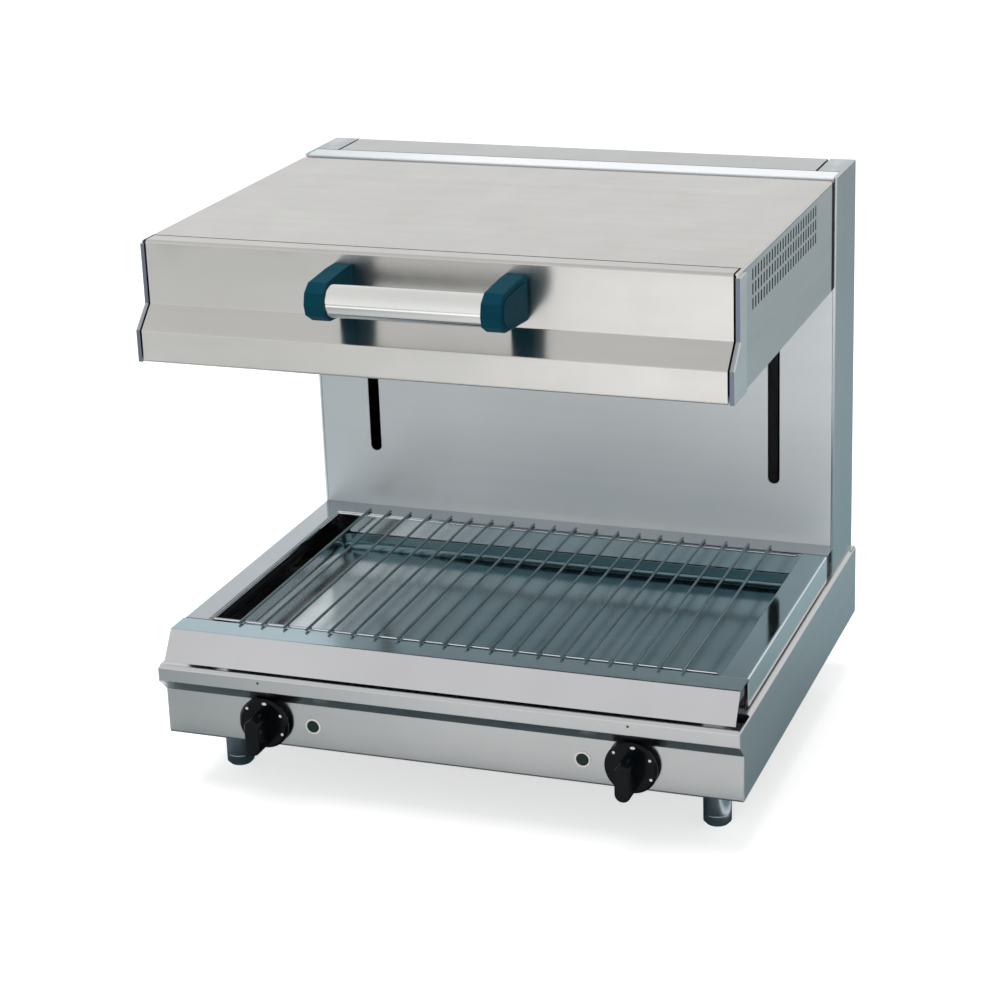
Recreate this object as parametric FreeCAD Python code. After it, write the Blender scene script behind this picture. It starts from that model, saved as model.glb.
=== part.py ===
import FreeCAD, Part
import math
import os

V = FreeCAD.Vector

# Electric cheese melter with a rise-and-fall hood. Millimetres, +X right, +Y back, +Z up.
# Depths are measured from the front of the base's nose band and heights from the surface it stands on.

# Sheet steel and fits
SHEET = 1.2
BEND = 1.2
SEAM_GAP = 0.4
REST_GAP = 0.3
RUN_FIT = 0.05
OVERRUN = 5.0

# Base housing
BASE_WIDTH = 600.0
BASE_DEPTH = 502.0
BASE_HEIGHT = 80.0
FOOT_HEIGHT = 58.0
NOSE_BAND = 14.0
NOSE_BEVEL = 3.0
CHAMFER_DROP = 14.5
PANEL_SETBACK = 15.0
NOSE_RETURN = 20.0
FOOT_RETURN = 25.0
SIDE_RETURN = 24.0
SIDE_FLANGE = 16.0
REAR_RETURN = 18.0
FLOOR_SHEET = 1.5

BASE_UNDER = FOOT_HEIGHT
BASE_TOP = BASE_UNDER + BASE_HEIGHT
BAND_TOP = BASE_TOP - NOSE_BEVEL
BAND_FOOT = BAND_TOP - NOSE_BAND
CHAMFER_FOOT = BAND_FOOT - CHAMFER_DROP
BASE_HALF = BASE_WIDTH / 2
SIDE_INNER = BASE_HALF - SHEET
FLOOR_TOP = BASE_UNDER + SHEET + FLOOR_SHEET

# Feet
FOOT_RADIUS = 14.0
FOOT_TIP_RADIUS = 10.5
FOOT_TIP_CHAMFER = 4.0
FOOT_GROOVE = 1.0
FOOT_GROOVE_HEIGHT = 12.0
FOOT_SIDE_INSET = 44.0
FOOT_INSET = 80.0
STUD_RADIUS = 4.0
STUD_LENGTH = 16.0
NUT_ACROSS = 13.0
NUT_HEIGHT = 6.5

FOOT_X = BASE_HALF - FOOT_SIDE_INSET

# Knobs, energy regulators and pilot lamps
KNOB_INSET = 109.0
KNOB_HEIGHT = 26.0
KNOB_RADIUS = 26.5
KNOB_SKIRT = 9.0
KNOB_CONE = 2.5
KNOB_REAR_CONE = 5.0
KNOB_GRIP_RISE = 27.0
KNOB_GRIP_WIDTH = 16.0
KNOB_GRIP_UP = 15.0
KNOB_GRIP_DOWN = 23.0
KNOB_EDGE = 2.0
KNOB_STANDOFF = 0.6
SPINDLE_RADIUS = 3.0
SPINDLE_FLAT = 1.0
SPINDLE_IN_KNOB = 16.0
SPINDLE_IN_REGULATOR = 22.0
REGULATOR_WIDTH = 40.0
REGULATOR_DEPTH = 38.0
REGULATOR_FLOOR_GAP = 2.3
REGULATOR_ABOVE = 21.0
REGULATOR_NECK = 5.0
LAMP_SPACING = 50.5
LAMP_HEIGHT = 25.5
LAMP_RADIUS = 6.3
LAMP_RISE = 2.0
LAMP_BARREL = 4.6
LAMP_LENGTH = 26.0
LAMP_DOME = 0.8
INDEX_RISE = 9.5
INDEX_RADIUS = 1.2

KNOB_X = BASE_HALF - KNOB_INSET
LAMP_X = KNOB_X - LAMP_SPACING
KNOB_Z = BASE_UNDER + KNOB_HEIGHT
LAMP_Z = BASE_UNDER + LAMP_HEIGHT
INDEX_Z = BAND_FOOT + INDEX_RISE
PANEL_INSIDE = PANEL_SETBACK + SHEET

# Depths shared by the deck, the tray and the column
COLUMN_DEPTH = 88.5
TRAY_SLOPE_FOOT = 4.0
TRAY_SLOPE_TOP = 23.3
COLUMN_FRONT = BASE_DEPTH - COLUMN_DEPTH

# Deck
DECK_RISE = 31.0
DECK_INSET = 5.5
RIM_WIDTH = 27.7
RIM_HEM = 4.0
RIM_CLEAR = 2.0
TRAY_LIP = 30.7
STRIP_DEPTH = 30.5
REAR_WALL = 28.0
STRIP_UNDERLAP = 16.5
RAIL_INSET = 3.5
RAIL_FLANGE = 8.0
RAIL_END_GAP = 1.0

DECK_TOP = BASE_TOP + DECK_RISE
DECK_UNDER = DECK_TOP - SHEET
RIM_FOOT = BASE_TOP + RIM_CLEAR
DECK_HALF = BASE_HALF - DECK_INSET
LIP_REAR = TRAY_SLOPE_TOP + TRAY_LIP
RIM_FRONT = LIP_REAR + SEAM_GAP
OPENING_REAR = COLUMN_FRONT - STRIP_DEPTH
OPENING_HALF = DECK_HALF - RIM_WIDTH

# Drip tray and wire rack
TRAY_CLEAR = 3.0
PAN_SIDE_GAP = 7.6
PAN_REAR_GAP = 1.6
PAN_RIM_DROP = 24.5
PAN_DEPTH = 16.5
PAN_CORNER = 8.0
BAR_WIDTH = 30.0
BAR_TALL = 18.0
BAR_INSET = 40.0
WIRE_RADIUS = 1.5
WIRE_WELD = 0.4
RACK_WIRES = 20
RACK_SIDE_GAP = 35.8
RACK_FRONT_LAP = 4.0
RACK_REAR_LAP = 9.0
RACK_CROSS_INSET = 4.5
RACK_CROSS_GAP = 3.8

PAN_HALF = OPENING_HALF - PAN_SIDE_GAP - SHEET
PAN_REAR = OPENING_REAR - PAN_REAR_GAP - SHEET
PAN_RIM = DECK_TOP - PAN_RIM_DROP
PAN_FLOOR = PAN_RIM - PAN_DEPTH
PAN_UNDER = PAN_FLOOR - SHEET
RACK_HALF = OPENING_HALF - RACK_SIDE_GAP
RACK_FRONT = LIP_REAR - RACK_FRONT_LAP
RACK_REAR = OPENING_REAR + RACK_REAR_LAP

# Column
COLUMN_INSET = 4.6
COLUMN_HEIGHT = 431.5
COLUMN_RETURN = 3.7
COLUMN_TOP_STRIP = 26.5
COVER_INSET = 29.7
COVER_SIDE_GAP = 2.5
COVER_FRONT_GAP = 2.0
SLOT_INSET = 66.4
SLOT_WIDTH = 13.0
SLOT_SPARE = 16.0
SLOT_HEAD = 8.0
COVER_SCREW_RADIUS = 4.0
COVER_SCREW_RISE = 1.6
COVER_SCREW_INSET = 12.0
COVER_SCREW_ROWS = 3
COVER_VENT_COUNT = 12
COVER_VENT_LENGTH = 60.0
COVER_VENT_WIDTH = 4.0
COVER_VENT_PITCH = 12.0
COVER_VENT_DROP = 60.0
COVER_VENT_INSET = 155.7

COLUMN_HALF = BASE_HALF - COLUMN_INSET
COVER_HALF = COLUMN_HALF - COVER_INSET
COVER_VENT_X = COVER_HALF - COVER_VENT_INSET
SLOT_X = COLUMN_HALF - SLOT_INSET
COLUMN_TOP = BASE_TOP + COLUMN_HEIGHT
COLUMN_INNER = COLUMN_HALF - SHEET
COLUMN_PANEL_HALF = COLUMN_HALF - COLUMN_RETURN - SEAM_GAP
SLOT_HIGH = COLUMN_TOP - SLOT_HEAD

# Hood
HOOD_INSET = 7.3
HOOD_HEIGHT = 115.0
HOOD_BACK_GAP = 13.0
HOOD_TOP_DROP = 1.0
HOOD_FRONT_LOW = 4.0
HOOD_FRONT_UP = 26.0
HOOD_BAND = 31.5
HOOD_FLARE = 21.0
HOOD_LIP = 19.0
HOOD_LIP_BEVEL = 2.0
HOOD_LIP_GAP = 2.0
HOOD_SIDE_SHEET = 2.0
CHEEK_SHEET = 2.5
CHEEK_REAR = 48.0
CHEEK_ROUND = 1.4
HOOD_SHADOW_GAP = 2.0
HOOD_RETURN = 24.0
HOOD_END_RETURN = 8.0
HOOD_TOP_EDGE = 4.0
SEAL_WIDTH = 12.0
SEAL_CLEAR = 2.0
VENT_ROWS = 3
VENT_COUNT = 25
VENT_WIDTH = 4.0
VENT_TALL = 10.6
VENT_ROW_PITCH = 13.8
VENT_FRONT_INSET = 51.0
VENT_REAR_INSET = 70.5
VENT_DROP = 8.4

HOOD_HALF = BASE_HALF - HOOD_INSET
HOOD_TOP = COLUMN_TOP - HOOD_TOP_DROP
HOOD_UNDER = HOOD_TOP - HOOD_HEIGHT
HOOD_BACK = COLUMN_FRONT - HOOD_BACK_GAP
HOOD_PANEL_HALF = HOOD_HALF - HOOD_SIDE_SHEET - HOOD_SHADOW_GAP
HOOD_SIDE_INNER = HOOD_HALF - HOOD_SIDE_SHEET
FLARE_LOW = HOOD_UNDER + HOOD_BAND
FLARE_HIGH = FLARE_LOW + HOOD_FLARE
VENT_FRONT = HOOD_FRONT_UP + VENT_FRONT_INSET
VENT_REAR = HOOD_BACK - VENT_REAR_INSET

# Reflector and heating elements
REFLECTOR_FLANGE_GAP = 1.6
REFLECTOR_SIDE_INSET = 28.7
REFLECTOR_FRONT_INSET = 16.0
REFLECTOR_REAR_INSET = 32.5
REFLECTOR_DEPTH = 54.0
REFLECTOR_DRAFT = 16.0
ELEMENT_RADIUS = 4.25
ELEMENT_RISE = 30.0
ELEMENT_RUNS = 4
ELEMENT_INNER_X = 45.0
ELEMENT_SIDE_GAP = 21.0
ELEMENT_FRONT_GAP = 33.0
ELEMENT_REAR_GAP = 26.0
ELEMENT_TAIL_GAP = 14.5
HOLDER_SHEET = 2.0
HOLDER_INSET = 60.0
HOLDER_DROP = 9.0
INSULATION_TOP_GAP = 12.0
INSULATION_INSET = 20.0

REFLECTOR_HALF = HOOD_SIDE_INNER - REFLECTOR_SIDE_INSET
REFLECTOR_FRONT = HOOD_FRONT_UP + REFLECTOR_FRONT_INSET
REFLECTOR_REAR = HOOD_BACK - REFLECTOR_REAR_INSET
REFLECTOR_LOW = HOOD_UNDER + REFLECTOR_FLANGE_GAP
REFLECTOR_ROOF = REFLECTOR_LOW + REFLECTOR_DEPTH
ELEMENT_Z = HOOD_UNDER + ELEMENT_RISE
ELEMENT_OUTER_X = REFLECTOR_HALF - REFLECTOR_DRAFT - ELEMENT_SIDE_GAP
ELEMENT_PITCH = (ELEMENT_OUTER_X - ELEMENT_INNER_X) / (ELEMENT_RUNS - 1)
ELEMENT_FRONT = REFLECTOR_FRONT + ELEMENT_FRONT_GAP
ELEMENT_BACK = REFLECTOR_REAR - ELEMENT_REAR_GAP
ELEMENT_TAIL = HOOD_BACK - ELEMENT_TAIL_GAP

# Handle
HANDLE_INNER = 76.0
HANDLE_BRACKET = 19.5
HANDLE_REACH = 53.0
HANDLE_Z_DROP = 32.5
HANDLE_BAR_RADIUS = 15.5
HANDLE_BAR_WALL = 1.5
HANDLE_SOCKET = 4.5
HANDLE_ABOVE = 21.0
HANDLE_BELOW = 23.3
HANDLE_NOSE = 19.0
HANDLE_EDGE = 2.5
HANDLE_PAD = 1.2
HANDLE_PAD_INSET = 6.0
HANDLE_OUTLINE_SHARES = [
    (1.0, -1.0),
    (-0.2, -0.8),
    (-0.85, -0.48),
    (-1.0, -0.05),
    (-0.84, 0.5),
    (-0.3, 0.86),
    (0.66, 1.0),
    (1.0, 1.0),
]

HANDLE_Y = HOOD_FRONT_UP - HANDLE_REACH
HANDLE_Z = HOOD_TOP - HANDLE_Z_DROP

# Guide rods, carriages and gas springs inside the column
ROD_INSET = 40.0
ROD_RADIUS = 7.0
ROD_LOW = 28.0
BRACKET_PLATE = 6.0
BRACKET_DEPTH = 36.0
BRACKET_REACH = 23.0
BRACKET_TAB = 24.0
CARRIAGE_HALF = 21.0
CARRIAGE_DEPTH = 42.0
CARRIAGE_HEIGHT = 92.0
CARRIAGE_TOP_DROP = 10.5
BUSH_RADIUS = 11.0
BUSH_LENGTH = 20.0
ARM_THICK = 8.0
ARM_FLANGE_HALF = 20.0
ARM_FLANGE_THICK = 4.0
ARM_EDGE_DROP = 4.0
CROSSBAR_TALL = 12.0
CROSSBAR_DEPTH = 20.0
CROSSBAR_DROP = 4.0
SPRING_INSET = 79.0
SPRING_RADIUS = 9.5
SPRING_ROD_RADIUS = 4.0
SPRING_HEAD_GAP = 4.0
SPRING_OVERLAP = 14.0
SPRING_END = 6.0
ANCHOR_HALF = 14.0
ANCHOR_TALL = 7.0
ANCHOR_PIN = 5.0
ANCHOR_PIN_LENGTH = 10.3

ROD_Y = BASE_DEPTH - ROD_INSET
SPRING_X = SLOT_X - SPRING_INSET
CARRIAGE_TOP = HOOD_TOP - CARRIAGE_TOP_DROP
CARRIAGE_LOW = CARRIAGE_TOP - CARRIAGE_HEIGHT
CROSSBAR_TOP = CARRIAGE_TOP - CROSSBAR_DROP
CROSSBAR_LOW = CROSSBAR_TOP - CROSSBAR_TALL
SPRING_FOOT = FLOOR_TOP + ANCHOR_TALL + ANCHOR_PIN_LENGTH
SPRING_SPARE = SPRING_HEAD_GAP + SPRING_OVERLAP + SPRING_END
HOOD_TRAVEL = (CROSSBAR_LOW - SPRING_FOOT - SPRING_SPARE) / 2
SPRING_HEAD = CROSSBAR_LOW - HOOD_TRAVEL - SPRING_HEAD_GAP
SPRING_ROD_LOW = SPRING_HEAD - SPRING_OVERLAP
ARM_LOW = CARRIAGE_LOW + ARM_EDGE_DROP
SLOT_LOW = ARM_LOW - HOOD_TRAVEL - SLOT_SPARE
ROD_FOOT = BASE_TOP + ROD_LOW
ROD_HEAD = COLUMN_TOP - SHEET - RIM_CLEAR

# Electrical pieces in the base
TERMINAL_LENGTH = 80.0
TERMINAL_DEPTH = 26.0
TERMINAL_TALL = 20.0
TERMINAL_WAYS = 5
TERMINAL_SCREW = 3.2
TERMINAL_SCREW_DEPTH = 6.0
TERMINAL_BACK_GAP = 24.0
GLAND_INSET = 100.0
GLAND_HEIGHT = 36.0
GLAND_BORE = 5.5
GLAND_THREAD = 10.0
GLAND_ACROSS = 26.0
GLAND_HEX = 6.0
GLAND_DOME = 14.0
GLAND_DOME_RADIUS = 11.5
GLAND_TIP_RADIUS = 8.0
GLAND_TAIL = 12.0
GLAND_NUT = 5.0
REAR_VENT_COUNT = 14
REAR_VENT_WIDTH = 4.0
REAR_VENT_TALL = 34.0
REAR_VENT_PITCH = 12.0
GLAND_X = BASE_HALF - GLAND_INSET

# The part's own origin: the middle of its floor outline.
FRONT_REACH = HANDLE_Y - HANDLE_NOSE
REAR_REACH = BASE_DEPTH + GLAND_HEX + GLAND_DOME
MIDDLE_Y = (FRONT_REACH + REAR_REACH) / 2


def along_x(y, z):
    return V(0, y, z)


def along_y(x, z):
    return V(x, 0, z)


def along_z(x, y):
    return V(x, y, 0)


PULL = {along_x: V(1, 0, 0), along_y: V(0, 1, 0), along_z: V(0, 0, 1)}


def box(x, y, z):
    """Block between the low and the high value of each pair."""
    return Part.makeBox(x[1] - x[0], y[1] - y[0], z[1] - z[0], V(x[0], y[0], z[0]))


def rod(start, axis, radius, length):
    return Part.makeCylinder(radius, length, start, axis)


def pulled(edges, plane, low, high):
    face = Part.Face(Part.Wire(edges))
    face.translate(PULL[plane] * low)
    return face.extrude(PULL[plane] * (high - low))


def prism(points, plane, low, high):
    """Straight-sided solid: an outline in a plane, pulled from low to high."""
    corners = [plane(*point) for point in points]
    edges = [Part.makeLine(a, b) for a, b in zip(corners, corners[1:] + corners[:1])]
    return pulled(edges, plane, low, high)


def bent_edges(points, radii):
    """Lines through the points, with an arc of the given radius at each inner point."""
    edges = []
    start = points[0]
    for before, corner, after, radius in zip(points, points[1:], points[2:], radii):
        inward = (corner - before).normalize()
        outward = (after - corner).normalize()
        half_turn = inward.getAngle(outward) / 2
        reach = radius * math.tan(half_turn)
        to_centre = (outward - inward).normalize()
        first = corner - inward * reach
        last = corner + outward * reach
        middle = corner + to_centre * (radius / math.cos(half_turn) - radius)
        edges.append(Part.makeLine(start, first))
        edges.append(Part.Arc(first, middle, last).toShape())
        start = last
    edges.append(Part.makeLine(start, points[-1]))
    return edges


def folded(run, plane, low, high, bend=BEND, sheet=SHEET):
    """Sheet bent along an open run of points. The run is its shown face, and the sheet lies left of it."""
    flat = [V(a, b, 0) for a, b in run]
    steps = [(b - a).normalize() for a, b in zip(flat, flat[1:])]
    lefts = [V(-step.y, step.x, 0) for step in steps]
    back = [flat[0] + lefts[0] * sheet]
    for corner, one, two in zip(flat[1:], lefts, lefts[1:]):
        back.append(corner + (one + two) * (sheet / (1 + one.dot(two))))
    back.append(flat[-1] + lefts[-1] * sheet)
    shown, hidden = [], []
    for one, two in zip(steps, steps[1:]):
        turns_left = one.cross(two).z > 0
        shown.append(bend + sheet if turns_left else bend)
        hidden.append(bend if turns_left else bend + sheet)
    edges = bent_edges([plane(p.x, p.y) for p in flat], shown)
    edges.append(Part.makeLine(plane(flat[-1].x, flat[-1].y), plane(back[-1].x, back[-1].y)))
    edges += bent_edges([plane(p.x, p.y) for p in reversed(back)], hidden[::-1])
    edges.append(Part.makeLine(plane(back[0].x, back[0].y), plane(flat[0].x, flat[0].y)))
    return pulled(edges, plane, low, high)


def ring(radius, along):
    return V(radius, 0, along)


def revolved(profile, centre, axis):
    """Solid of revolution. The profile's rings give a radius and a distance along the axis from the centre."""
    across = V(0, 0, 1) if abs(axis.z) < abs(axis.x) + abs(axis.y) else V(1, 0, 0)
    corners = [centre + across * corner.x + axis * corner.z for corner in profile]
    face = Part.Face(Part.makePolygon(corners + corners[:1]))
    return face.revolve(centre, axis, 360)


def hexagon(centre, axis, across, length):
    """Six-sided prism of the given width across its flats, along Y or Z."""
    plane = along_y if abs(axis.y) > abs(axis.z) else along_z
    radius = across / math.sqrt(3)
    turns = [math.radians(60 * k) for k in range(6)]
    outline = [(radius * math.cos(t), radius * math.sin(t)) for t in turns]
    body = prism(outline, plane, 0, length)
    body.translate(centre)
    return body


def mirrored(shape):
    return shape.mirror(V(0, 0, 0), V(1, 0, 0))


def both_sides(shapes):
    return shapes + [mirrored(shape) for shape in shapes]


def slot_cutter(x, width, y, low, high):
    """Upright slot with round ends, through the depths y."""
    radius = width / 2
    body = box((x - radius, x + radius), y, (low + radius, high - radius))
    for z in (low + radius, high - radius):
        body = body.fuse(rod(V(x, y[0], z), V(0, 1, 0), radius, y[1] - y[0]))
    return body


def save(name, shape):
    """Writes one node, moved so that the part's origin is the middle of its floor outline."""
    placed = shape.copy()
    placed.translate(V(0, -MIDDLE_Y, 0))
    placed.exportStep("parts/" + name + ".step")


def base_outline():
    return [
        (BASE_DEPTH, BASE_UNDER),
        (PANEL_SETBACK, BASE_UNDER),
        (PANEL_SETBACK, CHAMFER_FOOT),
        (0, BAND_FOOT),
        (0, BAND_TOP),
        (NOSE_BEVEL, BASE_TOP),
        (BASE_DEPTH, BASE_TOP),
    ]


def base_side():
    run = [
        (BASE_HALF - SIDE_RETURN, BASE_UNDER),
        (BASE_HALF, BASE_UNDER),
        (BASE_HALF, BAND_TOP),
        (BASE_HALF - NOSE_BEVEL, BASE_TOP),
        (BASE_HALF - SIDE_FLANGE, BASE_TOP),
    ]
    wall = folded(run, along_y, 0, BASE_DEPTH)
    wall = wall.common(prism(base_outline(), along_x, 0, BASE_HALF))
    low = BASE_UNDER - OVERRUN
    high = BASE_TOP + OVERRUN
    front = box((0, SIDE_INNER), (0, PANEL_SETBACK + FOOT_RETURN + SEAM_GAP), (low, high))
    rear = box((0, SIDE_INNER), (BASE_DEPTH - REAR_RETURN - SEAM_GAP, BASE_DEPTH), (low, high))
    return wall.cut([front, rear])


def front_panel():
    run = [
        (NOSE_RETURN, BASE_TOP),
        (NOSE_BEVEL, BASE_TOP),
        (0, BAND_TOP),
        (0, BAND_FOOT),
        (PANEL_SETBACK, CHAMFER_FOOT),
        (PANEL_SETBACK, BASE_UNDER),
        (PANEL_SETBACK + FOOT_RETURN, BASE_UNDER),
    ]
    panel = folded(run, along_x, -SIDE_INNER, SIDE_INNER)
    deep = PANEL_SETBACK + OVERRUN
    neck = REGULATOR_NECK + RUN_FIT
    holes = [
        rod(V(KNOB_X, 0, KNOB_Z), V(0, 1, 0), neck, deep),
        rod(V(LAMP_X, 0, LAMP_Z), V(0, 1, 0), LAMP_BARREL + RUN_FIT, deep),
        rod(V(KNOB_X, -OVERRUN, INDEX_Z), V(0, 1, 0), INDEX_RADIUS, 2 * OVERRUN),
    ]
    return panel.cut(both_sides(holes))


def foot_places():
    rear = BASE_DEPTH - FOOT_INSET
    return {
        "front_left": V(-FOOT_X, FOOT_INSET, 0),
        "front_right": V(FOOT_X, FOOT_INSET, 0),
        "rear_left": V(-FOOT_X, rear, 0),
        "rear_right": V(FOOT_X, rear, 0),
    }


def base_floor():
    depth = (PANEL_INSIDE + BEND, BASE_DEPTH - SHEET - BEND)
    half = SIDE_INNER - BEND
    plate = box((-half, half), depth, (BASE_UNDER + SHEET, FLOOR_TOP))
    holes = []
    for place in foot_places().values():
        low = V(place.x, place.y, BASE_UNDER)
        holes.append(rod(low, V(0, 0, 1), STUD_RADIUS + RUN_FIT, FLOOR_TOP))
    return plate.cut(holes)


def base_rear_panel():
    run = [
        (BASE_DEPTH - REAR_RETURN, BASE_UNDER),
        (BASE_DEPTH, BASE_UNDER),
        (BASE_DEPTH, BASE_TOP),
        (BASE_DEPTH - REAR_RETURN, BASE_TOP),
    ]
    panel = folded(run, along_x, -SIDE_INNER, SIDE_INNER)
    through = (BASE_DEPTH - OVERRUN, BASE_DEPTH + OVERRUN)
    gland = V(GLAND_X, through[0], BASE_UNDER + GLAND_HEIGHT)
    holes = [rod(gland, V(0, 1, 0), GLAND_THREAD + RUN_FIT, 2 * OVERRUN)]
    low = BASE_UNDER + (BASE_HEIGHT - REAR_VENT_TALL) / 2
    first = -(REAR_VENT_COUNT - 1) * REAR_VENT_PITCH / 2
    for k in range(REAR_VENT_COUNT):
        x = first + k * REAR_VENT_PITCH
        holes.append(slot_cutter(x, REAR_VENT_WIDTH, through, low, low + REAR_VENT_TALL))
    return panel.cut(holes)


def foot():
    """Turned steel leg: round shank with a groove above its screw-in tip, and a stud through the floor."""
    groove = FOOT_RADIUS - FOOT_GROOVE
    groove_top = FOOT_GROOVE_HEIGHT + FOOT_GROOVE
    profile = [
        ring(0, 0),
        ring(FOOT_TIP_RADIUS, 0),
        ring(FOOT_RADIUS, FOOT_TIP_CHAMFER),
        ring(FOOT_RADIUS, FOOT_GROOVE_HEIGHT),
        ring(groove, FOOT_GROOVE_HEIGHT),
        ring(groove, groove_top),
        ring(FOOT_RADIUS, groove_top),
        ring(FOOT_RADIUS, FOOT_HEIGHT),
        ring(STUD_RADIUS, FOOT_HEIGHT),
        ring(STUD_RADIUS, FOOT_HEIGHT + STUD_LENGTH),
        ring(0, FOOT_HEIGHT + STUD_LENGTH),
    ]
    return revolved(profile, V(0, 0, 0), V(0, 0, 1))


def foot_nuts():
    nuts = []
    for place in foot_places().values():
        centre = V(place.x, place.y, FLOOR_TOP)
        nut = hexagon(centre, V(0, 0, 1), NUT_ACROSS, NUT_HEIGHT)
        nuts.append(nut.cut(rod(centre, V(0, 0, 1), STUD_RADIUS, NUT_HEIGHT)))
    return Part.makeCompound(nuts)


def rim_run():
    return [
        (DECK_HALF, RIM_FOOT),
        (DECK_HALF, DECK_TOP),
        (OPENING_HALF, DECK_TOP),
        (OPENING_HALF, DECK_TOP - RIM_HEM),
    ]


def deck_rim():
    return folded(rim_run(), along_y, RIM_FRONT, OPENING_REAR - SEAM_GAP)


def deck_frame():
    """Left rim and rear strip in one sheet; the strip turns down to the pan and behind the column's panel."""
    rear = COLUMN_FRONT + STRIP_UNDERLAP
    run = [
        (rear, BASE_TOP),
        (rear, DECK_TOP),
        (OPENING_REAR, DECK_TOP),
        (OPENING_REAR, DECK_TOP - REAR_WALL),
    ]
    joint = OPENING_HALF + SHEET
    strip = folded(run, along_x, -joint, DECK_HALF)
    rim = mirrored(folded(rim_run(), along_y, RIM_FRONT, OPENING_REAR))
    corner_run = [(DECK_HALF, RIM_FOOT), (DECK_HALF, DECK_TOP), (joint, DECK_TOP)]
    corner = mirrored(folded(corner_run, along_y, OPENING_REAR, COLUMN_FRONT - SEAM_GAP))
    wall_end = box((OPENING_HALF, BASE_HALF), (0, OPENING_REAR + SHEET + BEND), (BASE_UNDER, DECK_UNDER))
    notch_y = (COLUMN_FRONT - SEAM_GAP, BASE_DEPTH)
    notch = box((COLUMN_PANEL_HALF, BASE_HALF), notch_y, (BASE_UNDER, COLUMN_TOP))
    return strip.cut([wall_end, notch]).fuse([rim, corner]).removeSplitter()


def deck_rail():
    """Upright under the rim: it stands on the base's flange and carries the rim from below."""
    x = DECK_HALF - RAIL_INSET
    run = [
        (x - RAIL_FLANGE, BASE_TOP),
        (x, BASE_TOP),
        (x, DECK_UNDER),
        (x - RAIL_FLANGE, DECK_UNDER),
    ]
    return folded(run, along_y, RIM_FRONT + RAIL_END_GAP, COLUMN_FRONT - RAIL_END_GAP)


def tray_bars():
    top = PAN_UNDER - REST_GAP
    bars = []
    for y in (RIM_FRONT + BAR_INSET, PAN_REAR - BAR_INSET - BAR_WIDTH):
        run = [(y + BAR_WIDTH, top - BAR_TALL), (y + BAR_WIDTH, top), (y, top), (y, top - BAR_TALL)]
        bars.append(folded(run, along_x, -SIDE_INNER, SIDE_INNER))
    return Part.makeCompound(bars)


def column_front_panel():
    run = [
        (COLUMN_FRONT + COLUMN_TOP_STRIP, COLUMN_TOP),
        (COLUMN_FRONT, COLUMN_TOP),
        (COLUMN_FRONT, DECK_TOP),
    ]
    panel = folded(run, along_x, -COLUMN_PANEL_HALF, COLUMN_PANEL_HALF)
    through = (COLUMN_FRONT - OVERRUN, COLUMN_FRONT + OVERRUN)
    slot = slot_cutter(SLOT_X, SLOT_WIDTH, through, SLOT_LOW, SLOT_HIGH)
    return panel.cut(both_sides([slot]))


def column_side():
    run = [
        (COLUMN_HALF - COLUMN_RETURN, COLUMN_FRONT),
        (COLUMN_HALF, COLUMN_FRONT),
        (COLUMN_HALF, BASE_DEPTH),
        (COVER_HALF + COVER_SIDE_GAP, BASE_DEPTH),
    ]
    wall = folded(run, along_z, BASE_TOP, COLUMN_TOP)
    strip_rear = COLUMN_FRONT + COLUMN_TOP_STRIP + COVER_FRONT_GAP
    level = (COLUMN_TOP - SHEET, COLUMN_TOP)
    inner_edge = COLUMN_PANEL_HALF + SEAM_GAP
    rear = (strip_rear, BASE_DEPTH - SHEET)
    top = box((COVER_HALF + COVER_SIDE_GAP, COLUMN_INNER), rear, level)
    corner = box((inner_edge, COLUMN_INNER), (COLUMN_FRONT + SHEET, strip_rear), level)
    return wall.fuse([top, corner]).removeSplitter()


def column_rear_cover():
    low = BASE_TOP + RIM_CLEAR
    run = [
        (BASE_DEPTH, low),
        (BASE_DEPTH, COLUMN_TOP),
        (COLUMN_FRONT + COLUMN_TOP_STRIP + COVER_FRONT_GAP, COLUMN_TOP),
    ]
    cover = folded(run, along_x, -COVER_HALF, COVER_HALF)
    vents = []
    depth = (BASE_DEPTH - OVERRUN, BASE_DEPTH + OVERRUN)
    for k in range(COVER_VENT_COUNT):
        z = COLUMN_TOP - COVER_VENT_DROP - k * COVER_VENT_PITCH
        half = COVER_VENT_LENGTH / 2
        vents.append(box((COVER_VENT_X - half, COVER_VENT_X + half), depth, (z, z + COVER_VENT_WIDTH)))
    return cover.cut(both_sides(vents))


def cover_screws():
    """Domed screw heads down both edges of the column's rear cover."""
    profile = [
        ring(0, 0),
        ring(COVER_SCREW_RADIUS, 0),
        ring(COVER_SCREW_RADIUS, COVER_SCREW_RISE / 2),
        ring(COVER_SCREW_RADIUS / 2, COVER_SCREW_RISE),
        ring(0, COVER_SCREW_RISE),
    ]
    span = COLUMN_HEIGHT - RIM_CLEAR - 2 * COVER_SCREW_INSET
    screws = []
    for k in range(COVER_SCREW_ROWS):
        z = BASE_TOP + RIM_CLEAR + COVER_SCREW_INSET + span * k / (COVER_SCREW_ROWS - 1)
        centre = V(COVER_HALF - COVER_SCREW_INSET, BASE_DEPTH, z)
        screws.append(revolved(profile, centre, V(0, 1, 0)))
    return Part.makeCompound(both_sides(screws))


def guide_rod():
    return rod(V(SLOT_X, ROD_Y, ROD_FOOT), V(0, 0, 1), ROD_RADIUS, ROD_HEAD - ROD_FOOT)


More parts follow.
